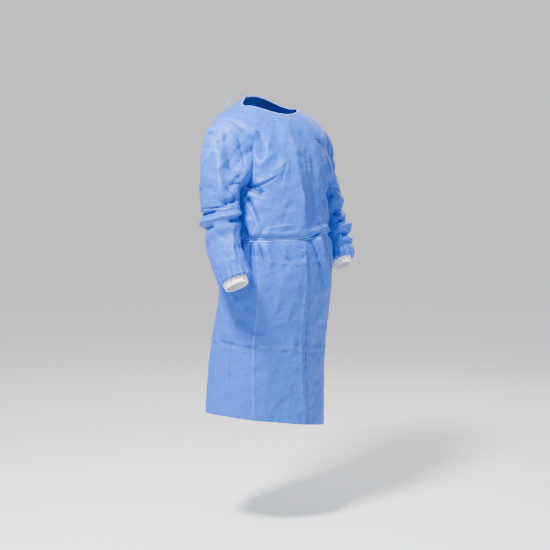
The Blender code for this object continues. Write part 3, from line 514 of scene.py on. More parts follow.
def bonded_cloth(name, light, dense, folded, crest_whitening_and_highlight):
    material = bpy.data.materials.new(name)
    material.use_nodes = True
    tree = material.node_tree
    shader = tree.nodes["Principled BSDF"]
    uv = add_node(tree, "ShaderNodeUVMap", {"uv_map": "cloth"}).outputs["UV"]
    turned = add_node(tree, "ShaderNodeMapping", None,
                      {"Vector": uv, "Rotation": (0.0, 0.0, math.radians(45))})
    points = add_node(tree, "ShaderNodeTexVoronoi", {"voronoi_dimensions": "2D"},
                      {"Vector": turned.outputs["Vector"], "Scale": 1 / BOND_SPACING,
                       "Randomness": 0.0})
    pits = add_node(tree, "ShaderNodeMapRange", {"interpolation_type": "SMOOTHSTEP"},
                    {"Value": points.outputs["Distance"], "From Min": 0.18, "From Max": 0.36,
                     "To Min": 0.0, "To Max": 1.0})
    clouds = add_node(tree, "ShaderNodeTexNoise", {"noise_dimensions": "2D"},
                      {"Vector": uv, "Scale": 1 / FIBRE_CLOUD, "Detail": 4.0, "Roughness": 0.6})
    blend = add_node(tree, "ShaderNodeMapRange", None,
                     {"Value": clouds.outputs["Fac"], "From Min": 0.35, "From Max": 0.65})
    share = add_node(tree, "ShaderNodeMath", {"operation": "MULTIPLY_ADD"},
                     {0: pits.outputs["Result"], 1: 0.35, 2: blend.outputs["Result"]})
    plain = add_node(tree, "ShaderNodeMix", {"data_type": "RGBA"}, {"Factor": share.outputs[0]})
    plain.inputs["A"].default_value = linear(dense)
    plain.inputs["B"].default_value = linear(light)
    # Painted shade: where the cloth lies deeper than the cloth round it (its attribute bend), as in
    # a sharp fold, the colour is darkened toward the folded colour.
    bend = add_node(tree, "ShaderNodeAttribute", {"attribute_name": "bend"}).outputs["Fac"]
    inside = add_node(tree, "ShaderNodeMapRange", {"interpolation_type": "SMOOTHSTEP"},
                      {"Value": bend, "From Min": 0.25, "From Max": 1.1,
                       "To Min": 0.0, "To Max": 0.85})
    deep = add_node(tree, "ShaderNodeMix", {"data_type": "RGBA"},
                    {"Factor": inside.outputs["Result"], "A": plain.outputs["Result"]})
    deep.inputs["B"].default_value = linear(folded)
    # Sharp crests are made paler: partly the whitening of cracked fibres, partly a painted
    # highlight.
    edge = add_node(tree, "ShaderNodeMapRange", {"interpolation_type": "SMOOTHSTEP"},
                    {"Value": bend, "From Min": -0.35, "From Max": -1.4,
                     "To Min": 0.0, "To Max": 0.30})
    colour = add_node(tree, "ShaderNodeMix", {"data_type": "RGBA"},
                      {"Factor": edge.outputs["Result"], "A": deep.outputs["Result"]})
    colour.inputs["B"].default_value = linear(crest_whitening_and_highlight)
    tree.links.new(colour.outputs["Result"], shader.inputs["Base Color"])
    gloss = add_node(tree, "ShaderNodeMapRange", None,
                     {"Value": clouds.outputs["Fac"], "From Min": 0.3, "From Max": 0.7,
                      "To Min": 0.46, "To Max": 0.56})
    tree.links.new(gloss.outputs["Result"], shader.inputs["Roughness"])
    place = add_node(tree, "ShaderNodeTexCoord").outputs["Object"]
    sway = add_node(tree, "ShaderNodeTexNoise", None,
                    {"Vector": place, "Scale": 1 / (2 * PACK_FACET), "Detail": 2.0})
    swayed = add_node(tree, "ShaderNodeVectorMath", {"operation": "MULTIPLY_ADD"},
                      {0: sway.outputs["Color"], 1: (PACK_FACET,) * 3, 2: place})
    facets = add_node(tree, "ShaderNodeTexVoronoi", None,
                      {"Vector": swayed.outputs["Vector"], "Scale": 1 / PACK_FACET,
                       "Detail": 1.0, "Roughness": 0.5})
    crinkled = add_node(tree, "ShaderNodeBump", None,
                        {"Strength": 0.8, "Distance": PACK_LIFT,
                         "Height": facets.outputs["Distance"]})
    relief = add_node(tree, "ShaderNodeMath", {"operation": "MULTIPLY_ADD"},
                      {0: pits.outputs["Result"], 1: 0.25, 2: clouds.outputs["Fac"]})
    raised = add_node(tree, "ShaderNodeBump", None,
                      {"Strength": 0.30, "Distance": 0.0004, "Height": relief.outputs[0],
                       "Normal": crinkled.outputs["Normal"]})
    tree.links.new(raised.outputs["Normal"], shader.inputs["Normal"])
    shader.inputs["Specular IOR Level"].default_value = 0.22
    shader.inputs["Sheen Weight"].default_value = 0.02
    shader.inputs["Sheen Roughness"].default_value = 0.45
    shader.inputs["Sheen Tint"].default_value = linear("cfdcff")
    return material


gown_cloth = bonded_cloth("spunbonded_polypropylene_blue", CLOTH_BLUE, CLOTH_DENSE,
                          CLOTH_PAINTED_FOLD_SHADE, CLOTH_CREST_WHITENING_AND_HIGHLIGHT)

level = cloth_levels()[:, None]
limit = SIDE_ANGLE - armhole_cut(level, ARMHOLE_FRONT)
angle = even_angles(level, -limit, limit, FRONT_COLUMNS)
front_panel = lay_cloth("gown_front", sew_sides(worn_cloth(angle, level + 0 * angle), True, True))
give_thickness(front_panel, CLOTH_THICK)
hand_over(front_panel, gown_cloth, "gown_cloth", "front_panel")


# Back panels. Two pieces of the same cloth, sewn to the front at the shoulders and sides. They
# cross at the centre back, where the wearer's right one lies outside, and are open down to the hem.
BACK_REACH = 200.0           # each goes past the centre back by 20 degrees
BACK_COLUMNS = 92
OVERLAP_LIFT = 0.0040        # the outer one stands off the inner one
LIFT_ANGLES = (140.0, 158.0)


def back_cloth(side):
    """Points of a back panel, with its angles rising from column to column."""
    level = cloth_levels()[:, None]
    start = SIDE_ANGLE + armhole_cut(level, ARMHOLE_BACK)
    reach = even_angles(level, start, np.full_like(start, BACK_REACH), BACK_COLUMNS)
    if side > 0:
        return sew_sides(worn_cloth(reach, level + 0 * reach), True, False)
    reach = reach[:, ::-1]
    points = worn_cloth(-reach, level + 0 * reach)
    lift = OVERLAP_LIFT * ease(*LIFT_ANGLES, reach)
    return sew_sides(points + grid_outward(points) * lift[..., None], False, True)


for name, node, side in (("gown_back_left", "back_panel_left", 1),
                         ("gown_back_right", "back_panel_right", -1)):
    back_panel = lay_cloth(name, back_cloth(side))
    give_thickness(back_panel, CLOTH_THICK)
    hand_over(back_panel, gown_cloth, "gown_cloth", node)


# Sleeves. Each is one piece of the same cloth, sewn into a tube, set into the armhole and pushed
# up a little on the forearm, so that folds stack at the elbow. The end is gathered to the cuff.
# centre x (out from the body), centre y, centre z, half size across, half size front to back,
# lean of the section (metres that its front edge is higher than its centre, per metre)
RIGHT_SLEEVE = (
    (0.246, -0.044, -0.290, 0.058, 0.080, 0.00),
    (0.251, -0.052, -0.340, 0.057, 0.080, 0.00),
    (0.255, -0.060, -0.385, 0.058, 0.080, 0.05),
    (0.260, -0.074, -0.430, 0.052, 0.066, 0.20),
    (0.265, -0.094, -0.485, 0.049, 0.064, 0.35),
    (0.267, -0.125, -0.535, 0.048, 0.060, 0.45),
    (0.267, -0.148, -0.575, 0.047, 0.056, 0.50),
)
LEFT_SLEEVE = (
    (0.243, -0.014, -0.290, 0.054, 0.076, 0.00),
    (0.248, -0.024, -0.330, 0.055, 0.076, 0.00),
    (0.251, -0.036, -0.375, 0.054, 0.074, 0.05),
    (0.255, -0.056, -0.415, 0.053, 0.072, 0.20),
    (0.257, -0.074, -0.455, 0.048, 0.062, 0.35),
    (0.258, -0.086, -0.495, 0.047, 0.056, 0.45),
    (0.258, -0.096, -0.530, 0.046, 0.052, 0.50),
)
# The large folds. angle (0 outer, 90 front, 180 inner), section, end angle, end section, depth,
# half width
RIGHT_FOLDS = (
    (40.0, -3.2, 36.0, 0.2, 0.006, 0.018),      # ridge down the upper arm
    (0.0, -4.0, 18.0, -3.2, -0.007, 0.014),     # crease over the cap
    (18.0, -3.2, 58.0, -1.9, -0.008, 0.014),
    (-55.0, -2.4, 8.0, -2.8, -0.005, 0.014),
    (95.0, -2.0, 70.0, -0.4, -0.007, 0.015),
    (50.0, 0.78, 104.0, 0.50, -0.012, 0.0095),  # stack of folds above the elbow
    (-50.0, 1.58, 14.0, 1.30, -0.012, 0.0095),
    (-10.0, 1.30, 70.0, 0.95, 0.006, 0.010),
    (-70.0, 2.75, 10.0, 2.50, -0.010, 0.012),
    (76.0, 2.05, 140.0, 1.80, -0.016, 0.013),
    (-60.0, 2.20, 120.0, 1.50, 0.006, 0.010),
    (200.0, 1.30, 280.0, 1.70, -0.010, 0.012),
    (190.0, 2.20, 270.0, 2.60, -0.008, 0.012),
    (-30.0, 3.60, 70.0, 3.10, -0.005, 0.014),   # forearm
    (20.0, 4.60, 120.0, 4.10, -0.005, 0.014),
    (210.0, 3.80, 300.0, 4.30, -0.005, 0.014),
)
LEFT_FOLDS = (
    (30.0, -3.2, 40.0, 0.0, 0.005, 0.018),
    (70.0, -2.6, 30.0, -1.0, -0.006, 0.015),
    (-20.0, 0.40, 110.0, 0.80, 0.006, 0.012),
    (-10.0, 1.20, 120.0, 1.80, -0.010, 0.011),
    (-20.0, 2.30, 110.0, 2.60, -0.008, 0.010),
    (-40.0, 3.05, 100.0, 3.20, 0.007, 0.011),
    (-60.0, 4.00, 130.0, 4.20, -0.013, 0.011),
    (0.0, 5.10, 120.0, 4.90, -0.006, 0.012),
    (200.0, 2.10, 290.0, 1.80, -0.008, 0.012),
    (200.0, 3.60, 290.0, 3.30, -0.008, 0.012),
)
# Creases finer than those. angle, section, end angle, end section, bow in mm, strength at the
# start and at the end, lift in mm (out is plus), half width in mm, lean, sharpness
RIGHT_CREASES = (
    (2, -4.1, 0, -3.15, 0, 0.5, 1.0, -4.8, 6, 0.0, 1.2),     # over the cap
    (0, -3.15, 16, -2.60, 2, 1.0, 0.3, -5.4, 6, 0.0, 1.2),
    (16, -3.75, 50, -3.60, -4, 0.6, 1.0, -4.8, 6, 0.0, 1.2),
    (50, -3.60, 84, -3.00, -3, 1.0, 0.4, -5.4, 6, 0.2, 1.2),
    (20, -3.30, 44, -2.50, 4, 0.4, 0.6, 3.8, 8, 0.0, 1.2),
    (20, -2.55, -26, -2.05, -2, 0.7, 0.7, -3.2, 6, 0.3, 1.1),  # fold line of the pack
    (56, -0.60, 96, 0.45, 3, 0.6, 1.0, -5.8, 6, 0.0, 1.2),
    (76, -1.50, 70, -0.80, 0, 0.4, 0.6, 4.2, 7, 0.0, 1.2),
    (-30, -1.20, 26, -0.90, 4, 0.3, 0.5, 2.9, 12, 0.0, 1.5),
    (-40, -0.10, 30, -0.30, -4, 0.4, 0.3, -3.2, 9, 0.2, 1.3),
    (0, 1.12, 80, 0.82, -3, 0.3, 0.6, 4.8, 5, 0.0, 1.1),
    (-30, 2.05, 50, 1.70, 4, 0.3, 0.9, 5.4, 8, -0.3, 1.2),
    (50, 1.72, 110, 1.40, 0, 0.9, 0.3, 4.8, 7, 0.0, 1.2),
    (-60, 2.60, 10, 2.45, -3, 0.8, 0.4, -6.4, 6, 0.3, 1.1),
    (-30, 3.70, 60, 3.95, 5, 0.3, 0.5, -3.8, 14, 0.0, 1.5),
    (84, 3.10, 112, 4.20, 0, 0.5, 0.5, -4.5, 8, 0.0, 1.3),
    (10, 4.60, 62, 4.95, 3, 0.2, 0.5, 3.2, 9, 0.0, 1.4),
    (200, -1.60, 240, -0.40, 4, 0.4, 0.5, -4.2, 9, 0.0, 1.3),  # the side behind
    (250, -3.00, 290, -1.80, 4, 0.4, 0.5, -4.2, 9, 0.0, 1.3),
    (210, 0.90, 300, 1.20, 4, 0.5, 0.8, -5.8, 6, 0.2, 1.1),
    (200, 1.90, 290, 2.10, -4, 0.5, 0.8, -5.1, 6, 0.2, 1.1),
    (220, 1.50, 280, 1.60, 0, 0.3, 0.3, 4.5, 6, 0.0, 1.2),
    (250, 2.80, 290, 4.60, 6, 0.4, 0.4, 3.8, 8, 0.2, 1.2),
    (190, 4.40, 250, 4.70, 3, 0.4, 0.4, -3.8, 9, 0.0, 1.4),
    (14, -2.90, 30, -1.58, 0, 0.4, 1.0, 7.0, 18, -0.3, 1.0),       # edge of two planes, upper arm
    (30, -1.58, 46, -0.53, 2, 1.0, 1.0, 8.0, 18, -0.3, 1.0),
    (46, -0.53, 50, 0.50, 0, 1.0, 0.5, 8.0, 16, -0.3, 1.0),
    (66, -2.20, 104, -1.70, 3, 0.3, 1.0, -7.0, 12, 0.3, 1.0),      # dark planes by the armpit
    (62, -0.70, 108, -1.20, 4, 0.5, 1.0, -8.0, 12, 0.4, 1.0),
    (84, -1.90, 74, -0.80, 2, 0.8, 0.4, 6.0, 11, 0.3, 1.0),
    (-10, 1.02, 60, 0.78, 4, 0.0, 0.9, -8.0, 8, 0.3, 1.0),         # the stack at the elbow
    (60, 0.78, 126, 0.52, 0, 0.9, 1.0, -7.0, 10, 0.3, 1.0),
    (-60, 1.50, 30, 1.20, 3, 0.4, 0.8, -6.0, 12, 0.5, 1.0),
    (30, 1.26, 90, 1.06, 4, 0.6, 0.0, -6.0, 6, 0.0, 1.0),
    (-30, 1.10, 64, 0.86, 3, 0.5, 1.0, -9.0, 5, 0.5, 1.0),
    (-70, 1.46, 24, 1.27, 3, 0.8, 0.7, -9.0, 5, 0.5, 1.0),
    (58, 1.75, 80, 2.80, 2, 1.0, 1.0, 7.0, 15, 0.3, 1.0),          # edge of two planes, forearm
    (80, 2.80, 68, 4.30, -3, 1.0, 1.0, 7.0, 15, 0.3, 1.0),
    (68, 4.30, 62, 5.40, 0, 1.0, 0.3, 6.0, 13, 0.3, 1.0),
    (20, 2.60, 60, 3.60, 6, 0.3, 0.8, -5.0, 16, 0.0, 1.0),
    (-20, 4.90, 66, 4.20, 5, 0.4, 0.9, 5.0, 12, 0.3, 1.0),
)
LEFT_CREASES = (
    (30, -3.75, 34, -2.70, 3, 0.4, 0.8, -3.8, 6, 0.0, 1.2),
    (34, -2.70, 16, -1.90, 2, 0.8, 0.3, -4.2, 7, 0.0, 1.2),
    (64, -2.40, 72, -1.00, 4, 0.5, 0.6, 4.2, 8, 0.3, 1.2),
    (112, -0.60, 60, 0.10, 4, 0.8, 0.3, -4.8, 7, 0.0, 1.2),
    (120, 0.40, 62, 0.86, -3, 0.4, 0.9, 4.8, 7, 0.0, 1.2),
    (120, 1.90, 70, 1.35, 3, 0.9, 0.4, -7.0, 6, 0.2, 1.1),   # folds at the elbow and below
    (128, 2.75, 64, 2.35, -4, 0.8, 0.5, -6.7, 6, 0.2, 1.1),
    (116, 2.30, 50, 1.90, 0, 0.3, 0.6, 5.1, 6, 0.0, 1.1),
    (130, 3.45, 74, 3.10, 3, 0.5, 0.9, 5.4, 7, -0.2, 1.1),
    (134, 3.95, 70, 4.15, -3, 0.9, 0.6, -8.0, 6, 0.2, 1.1),
    (70, 4.15, 0, 4.00, 0, 0.6, 0.3, -5.8, 6, 0.0, 1.2),
    (120, 4.60, 60, 4.50, 0, 0.4, 0.8, 4.5, 6, 0.0, 1.1),
    (140, 5.15, 84, 4.95, 2, 0.8, 0.4, -5.1, 6, 0.0, 1.1),
    (40, 2.90, 20, 1.20, 4, 0.4, 0.4, 3.8, 8, 0.3, 1.2),
    (-30, 0.90, 50, 0.70, 3, 0.4, 0.4, -4.2, 8, 0.0, 1.3),
    (250, -2.90, 290, -1.60, 4, 0.4, 0.5, -4.2, 9, 0.0, 1.3),  # the side behind
    (210, 0.80, 290, 0.60, 4, 0.5, 0.6, -5.1, 6, 0.2, 1.1),
    (200, 1.80, 290, 1.90, -4, 0.5, 0.8, -5.4, 6, 0.2, 1.1),
    (210, 2.70, 300, 2.60, 4, 0.5, 0.8, 4.8, 6, 0.2, 1.1),
    (200, 3.60, 300, 3.80, 3, 0.6, 0.6, -5.8, 6, 0.2, 1.1),
    (220, 4.60, 290, 4.40, 0, 0.4, 0.4, 3.8, 8, 0.0, 1.3),
)
ARM_CRUMPLE = ((0.0022, 0.060, 5.2), (0.0010, 0.026, 1.3))
CAP_ROWS = 46
CAP_SPAN = 4.2               # sections that the cloth above the first section counts for
ARM_ROWS = 126
SLEEVE_DEGREE = 0.0012
SECTION_STEP = 0.0475
# The cloth leaves the armhole down the slope of the shoulder at its top, in line with the
# panels at its sides and turned down the arm at the armpit.
CAP_SLOPE = (0.95, -0.30)    # out, up
CAP_TURNED = (0.80, -0.42)
CAP_RADIAL = 0.40
CAP_TOP = (0.40, 0.98)
CAP_SIDES = (-0.55, 0.75)
CAP_LEAVE = 1.08
CAP_ARRIVE = 0.90
CAP_LOOK = 0.4
INNER_ARM = (110.0, 250.0)   # nothing bulges toward the body there, beside the armpit
INNER_ARM_SECTION = 0.5
# The end rolls in to the cuff. share of the last section, metres along the arm
SLEEVE_END = ((1.0, 0.0), (0.93, 0.0045), (0.84, 0.0050), (0.79, 0.0000), (0.78, -0.0080))
END_ROWS = 20
END_SPAN = 0.35              # sections that these rows count for
GATHERS = (15, 26)           # puckers round the end
GATHER_DEPTH = 0.0017
GATHER_REACH = (4.9, 6.0)    # sections between which they grow


def armhole_edge(side):
    """Edge points of an armhole, from the shoulder tip by the front to the armpit and back up,
    the way that faces out of the body cloth and the way off its edge."""
    level = np.linspace(LEVEL_TIP, LEVEL_ARMPIT, ARMHOLE_CELLS + 1)
    front = SIDE_ANGLE - armhole_cut(level, ARMHOLE_FRONT)
    back = SIDE_ANGLE + armhole_cut(level, ARMHOLE_BACK)
    angle = side * np.concatenate([front, back[-2:0:-1]])
    level = np.concatenate([level, level[-2:0:-1]])
    place, normal = worn_cloth(angle, level), outward(smooth_cloth, angle, level)
    centre = place.mean(0)
    away = unit(np.cross(np.roll(place, -1, axis=0) - np.roll(place, 1, axis=0), normal))
    away = np.where(((centre - place) * away).sum(-1, keepdims=True) < 0, -away, away)
    return place, normal, away, centre


def arm_section(table, side, place, columns):
    """Rings of a sleeve at an array of places counted in sections."""
    cx, cy, cz, across, deep, lean = (value[:, None] for value in between_rows(table, place))
    turn = 2 * np.pi * np.arange(columns)[None] / columns
    forward = np.sin(turn)
    return np.stack([side * (cx + across * np.cos(turn)), cy - deep * forward,
                     cz + lean * deep * forward], -1)


def arm_end(table, side, columns):
    """Centre, outline and direction of the last section of a sleeve."""
    last = float(len(table) - 1)
    before, end = arm_section(table, side, np.array([last - 0.5, last]), columns)
    centre = end.mean(0)
    return centre, end - centre, unit(centre - before.mean(0))


def arm_girth(turn):
    return SLEEVE_DEGREE * turn


def sleeve_cloth(table, folds, creases, side):
    start, normal, away, centre = armhole_edge(side)
    columns = len(start)
    start = start + away * SEAM_GAP
    first, look = arm_section(table, side, np.array([0.0, CAP_LOOK]), columns)
    radial = unit(start - centre)
    turned = unit(np.array([side * CAP_TURNED[0], 0.0, CAP_TURNED[1]]) + radial * CAP_RADIAL)
    slope = np.array([side * CAP_SLOPE[0], 0.0, CAP_SLOPE[1]])
    top = ease(*CAP_TOP, radial[:, 2:])
    beside = ease(*CAP_SIDES, radial[:, 2:]) * (1 - top)
    leave = unit(slope * top + away * beside + turned * (1 - top - beside))
    arrive = unit(look - first)
    span = np.linalg.norm(first - start, axis=-1, keepdims=True)
    step = (np.arange(CAP_ROWS) / CAP_ROWS)[:, None, None]
    cap = (start * (2 * step ** 3 - 3 * step ** 2 + 1)
           + leave * span * CAP_LEAVE * (step ** 3 - 2 * step ** 2 + step)
           + first * (3 * step ** 2 - 2 * step ** 3)
           + arrive * span * CAP_ARRIVE * (step ** 3 - step ** 2))
    places = np.linspace(0.0, len(table) - 1.0, ARM_ROWS)
    arm = arm_section(table, side, places, columns)
    middle, ring, along = arm_end(table, side, columns)
    share, run = between_rows(SLEEVE_END, np.linspace(0.0, len(SLEEVE_END) - 1.0, END_ROWS)[1:])
    end = middle + ring * share[:, None, None] + along * run[:, None, None]
    rows = np.concatenate([cap, arm, end])
    ended = places[-1] + END_SPAN * np.linspace(0.0, 1.0, END_ROWS)[1:]
    section = np.concatenate([CAP_SPAN * (step[:, 0, 0] - 1), places, ended])[:, None]
    turn = 360.0 * np.arange(columns)[None] / columns
    fades = (ease(-CAP_SPAN, 1.0 - CAP_SPAN, section)
             * (1 - ease(places[-1] - 0.2, ended[-5], section)))
    out = fold_lift(turn, section, folds, SLEEVE_DEGREE, SECTION_STEP, True)
    out = out + crease_lift(turn, section, creases, arm_girth, SECTION_STEP)
    inner = (turn > INNER_ARM[0]) & (turn < INNER_ARM[1]) & (section < INNER_ARM_SECTION)
    out = np.where(inner, np.minimum(out, 0.0), out + crumple(rows, ARM_CRUMPLE))
    phase = np.radians(turn)
    wave = (np.sin(GATHERS[0] * phase + 1.1 * np.sin(2 * phase))
            + 0.6 * np.sin(GATHERS[1] * phase + 1.4 * np.sin(3 * phase + 1.0)))
    grown = ease(*GATHER_REACH, section) * (1 - ease(places[-1] + 0.1, ended[-1], section))
    around = np.roll(rows, -1, axis=1) - np.roll(rows, 1, axis=1)
    normals = side * unit(np.cross(around, np.gradient(rows, axis=0)))
    out = out * fades + GATHER_DEPTH * wave * grown
    from_edge = np.linalg.norm(rows - rows[:1], axis=-1)
    out = out - SEAM_DIP * bump(from_edge, SEAM_DIP_SPAN)
    rows = rows + normals * out[..., None]
    turned_in = [rows[0] + away * back - normal * depth for back, depth in SEAM_TURN[::-1]]
    rows = np.concatenate([np.stack(turned_in), rows])
    return rows[:, ::-1] if side > 0 else rows


for name, node, table, folds, creases, side in (
        ("gown_sleeve_right", "sleeve_right", RIGHT_SLEEVE, RIGHT_FOLDS, RIGHT_CREASES, -1),
        ("gown_sleeve_left", "sleeve_left", LEFT_SLEEVE, LEFT_FOLDS, LEFT_CREASES, 1)):
    sleeve = lay_cloth(name, sleeve_cloth(table, folds, creases, side), closed=True)
    give_thickness(sleeve, CLOTH_THICK)
    hand_over(sleeve, gown_cloth, "gown_cloth", node)


# Cuffs. Tubes of white knitted rib, polyester, about 2 mm thick and doubled over at the wrist, with
# their upper edge gathered into the sleeve. The ribs run along the arm.
# share of the last section, metres along the arm
CUFF_FORM = ((0.772, -0.012), (0.773, 0.000), (0.765, 0.008), (0.750, 0.016), (0.732, 0.023),
             (0.716, 0.0262), (0.700, 0.0258))
CUFF_ROWS = 26
CUFF_RIBS = 72               # a rib every 3 to 4 mm, coarser than the real 2 mm so that it shows
CUFF_RIB_CELLS = 5
RIB_HEIGHT = 0.00055
CUFF_THICK = 0.0016
KNIT_ROW = 0.0012

KNIT_WHITE = "f4f5f6"
KNIT_SHADE = "eceef1"


def knitted_rib(name):
    """Polyester rib: matt, slightly fuzzy, with rows of stitches and painted shade between them."""
    material = bpy.data.materials.new(name)
    material.use_nodes = True
    tree = material.node_tree
    shader = tree.nodes["Principled BSDF"]
    uv = add_node(tree, "ShaderNodeUVMap", {"uv_map": "cloth"}).outputs["UV"]
    rows = add_node(tree, "ShaderNodeTexWave", {"wave_type": "BANDS", "bands_direction": "Y"},
                    {"Vector": uv, "Scale": 1 / (KNIT_ROW * 2 * math.pi) / 2, "Distortion": 0.6,
                     "Detail": 1.0, "Detail Scale": 3.0})
    fuzz = add_node(tree, "ShaderNodeTexNoise", None,
                    {"Vector": uv, "Scale": 900.0, "Detail": 3.0})
    share = add_node(tree, "ShaderNodeMath", {"operation": "MULTIPLY_ADD"},
                     {0: fuzz.outputs["Fac"], 1: 0.5, 2: rows.outputs["Fac"]})
    blend = add_node(tree, "ShaderNodeMapRange", None,
                     {"Value": share.outputs[0], "From Min": 0.2, "From Max": 1.2})
    colour = add_node(tree, "ShaderNodeMix", {"data_type": "RGBA"},
                      {"Factor": blend.outputs["Result"]})
    colour.inputs["A"].default_value = linear(KNIT_SHADE)
    colour.inputs["B"].default_value = linear(KNIT_WHITE)
    tree.links.new(colour.outputs["Result"], shader.inputs["Base Color"])
    raised = add_node(tree, "ShaderNodeBump", None,
                      {"Strength": 0.5, "Distance": 0.0005, "Height": share.outputs[0]})
    tree.links.new(raised.outputs["Normal"], shader.inputs["Normal"])
    shader.inputs["Roughness"].default_value = 0.88
    shader.inputs["Sheen Weight"].default_value = 0.3
    shader.inputs["Sheen Roughness"].default_value = 0.6
    return material


cuff_knit = knitted_rib("knitted_polyester_rib")

for name, node, table, side in (("gown_cuff_right", "cuff_right", RIGHT_SLEEVE, -1),
                                ("gown_cuff_left", "cuff_left", LEFT_SLEEVE, 1)):
    columns = CUFF_RIBS * CUFF_RIB_CELLS
    middle, ring, along = arm_end(table, side, columns)
    share, run = between_rows(CUFF_FORM, np.linspace(0.0, len(CUFF_FORM) - 1.0, CUFF_ROWS))
    rib = 2 * np.pi * np.arange(columns) / CUFF_RIB_CELLS
    swell = 1.0 + 0.006 * (np.sin(np.arange(columns) * 0.31)
                           * np.sin(np.arange(CUFF_ROWS) * 0.4)[:, None])
    points = middle + ring * (share[:, None] * swell)[..., None] + along * run[:, None, None]
    points = points + unit(ring) * (RIB_HEIGHT * np.cos(rib) - RIB_HEIGHT)[:, None]
    cuff = lay_cloth(name, points[:, ::-1] if side > 0 else points, closed=True)
    give_thickness(cuff, CUFF_THICK)
    hand_over(cuff, cuff_knit, "cuff_knit", node)


# Neck binding. A narrow strip of lavender blue non-woven cloth, folded over the raw neckline from
# the end of one back panel to the end of the other, and sewn down with one row of stitches.
# The folded strip from its outer lower edge over the top to its inner one. rise, out from the
# outer face of the cloth
BINDING_FORM = ((-0.0012, 0.0007), (0.0012, 0.0008), (0.0030, 0.0007), (0.0046, 0.0005),
                (0.0056, -0.0001), (0.0060, -0.0010), (0.0056, -0.0019), (0.0044, -0.0024),
                (0.0026, -0.0026), (0.0006, -0.0026))
BINDING_THICK = 0.0004
BINDING_PUCKER = 0.00018

BINDING_LIGHT = "6a80e2"
BINDING_DARK = "5f74d8"


def neck_angles():
    """Angles along the neckline from the inner panel's end by the front to the outer one's."""
    return np.linspace(BACK_REACH, -BACK_REACH, 500)


angle = neck_angles()
level = np.zeros_like(angle)
edge = worn_cloth(angle, level)
facing = outward(smooth_cloth, angle, level)
lift = np.where(angle < 0, OVERLAP_LIFT * ease(*LIFT_ANGLES, np.abs(angle)), 0.0)
edge = edge + facing * lift[:, None]
up = unit(smooth_cloth(angle, level) - smooth_cloth(angle, level + 0.1))
pucker = BINDING_PUCKER * np.sin(np.arange(len(angle)) * 1.9)
points = np.stack([edge + up * rise + facing * (out + pucker)[:, None]
                   for rise, out in between_rows(BINDING_FORM,
                                                 np.linspace(0.0, 9.0, 19)).T])
# Its darker tone is also the painted shade in its sharp folds, its lighter one the paler crests
# with a painted highlight.
binding_cloth = bonded_cloth("spunbonded_polypropylene_lavender", BINDING_LIGHT, BINDING_DARK,
                             BINDING_DARK, BINDING_LIGHT)
binding = lay_cloth("gown_neck_binding", points)
give_thickness(binding, BINDING_THICK)
hand_over(binding, binding_cloth, "binding_cloth", "neck_binding")


def stitch_row(name, places, facing, pitch, length, thickness, thread):
    """A row of machine stitches laid along places on the cloth."""
    travelled = metres_along(places[None], 1)[0]
    at = np.arange(pitch / 2, travelled[-1], pitch)
    centre = np.stack([np.interp(at, travelled, places[:, axis]) for axis in range(3)], -1)
    ahead = np.stack([np.interp(at + pitch / 3, travelled, places[:, axis])
                      for axis in range(3)], -1)
    outer = unit(np.stack([np.interp(at, travelled, facing[:, axis]) for axis in range(3)], -1))
    along = unit(ahead - centre)
    aside = unit(np.cross(outer, along))
    one = bmesh.new()
    bmesh.ops.create_uvsphere(one, u_segments=6, v_segments=5, radius=0.5)
    form = bpy.data.meshes.new(name + "_one")
    one.to_mesh(form)
    one.free()
    whole = bmesh.new()
    for place, x_way, y_way, z_way in zip(centre, along, aside, outer):
        before = len(whole.verts)
        whole.from_mesh(form)
        whole.verts.ensure_lookup_table()
        for vertex in whole.verts[before:]:
            z, y, x = vertex.co
            vertex.co = Vector(place + x_way * (x * length) + y_way * (y * thickness)
                               + z_way * (z * thickness))
    bmesh.ops.recalc_face_normals(whole, faces=whole.faces[:])
    data = bpy.data.meshes.new(name)
    whole.to_mesh(data)
    whole.free()
    bpy.data.meshes.remove(form)
    data.shade_smooth()
    made = bpy.data.objects.new(name, data)
    bpy.context.scene.collection.objects.link(made)
    made.data.materials.append(thread)
    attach(made, "root")
    return made


# Spun polyester sewing thread: twisted, matt, a little darker than the cloth.
THREAD_BLUE = "6f86cc"
THREAD_SHADE = "5f76bd"
STITCH_PITCH = 0.0042
STITCH_LENGTH = 0.0030
STITCH_THICK = 0.0005
sewing_thread = bpy.data.materials.new("spun_polyester_thread")
sewing_thread.use_nodes = True
tree = sewing_thread.node_tree
shader = tree.nodes["Principled BSDF"]
# The twist is drawn as bands of a darker tone: painted shade in the grooves between its plies.
twist = add_node(tree, "ShaderNodeTexWave", {"wave_type": "BANDS", "bands_direction": "DIAGONAL"},
                 {"Vector": add_node(tree, "ShaderNodeTexCoord").outputs["Object"],
                  "Scale": 500.0})
colour = add_node(tree, "ShaderNodeMix", {"data_type": "RGBA"}, {"Factor": twist.outputs["Fac"]})
colour.inputs["A"].default_value = linear(THREAD_BLUE)
colour.inputs["B"].default_value = linear(THREAD_SHADE)
tree.links.new(colour.outputs["Result"], shader.inputs["Base Color"])
shader.inputs["Roughness"].default_value = 0.7

neck_stitches = stitch_row("gown_neck_stitches", edge + up * 0.0009 + facing * 0.0009, facing,
                           STITCH_PITCH, STITCH_LENGTH, STITCH_THICK, sewing_thread)


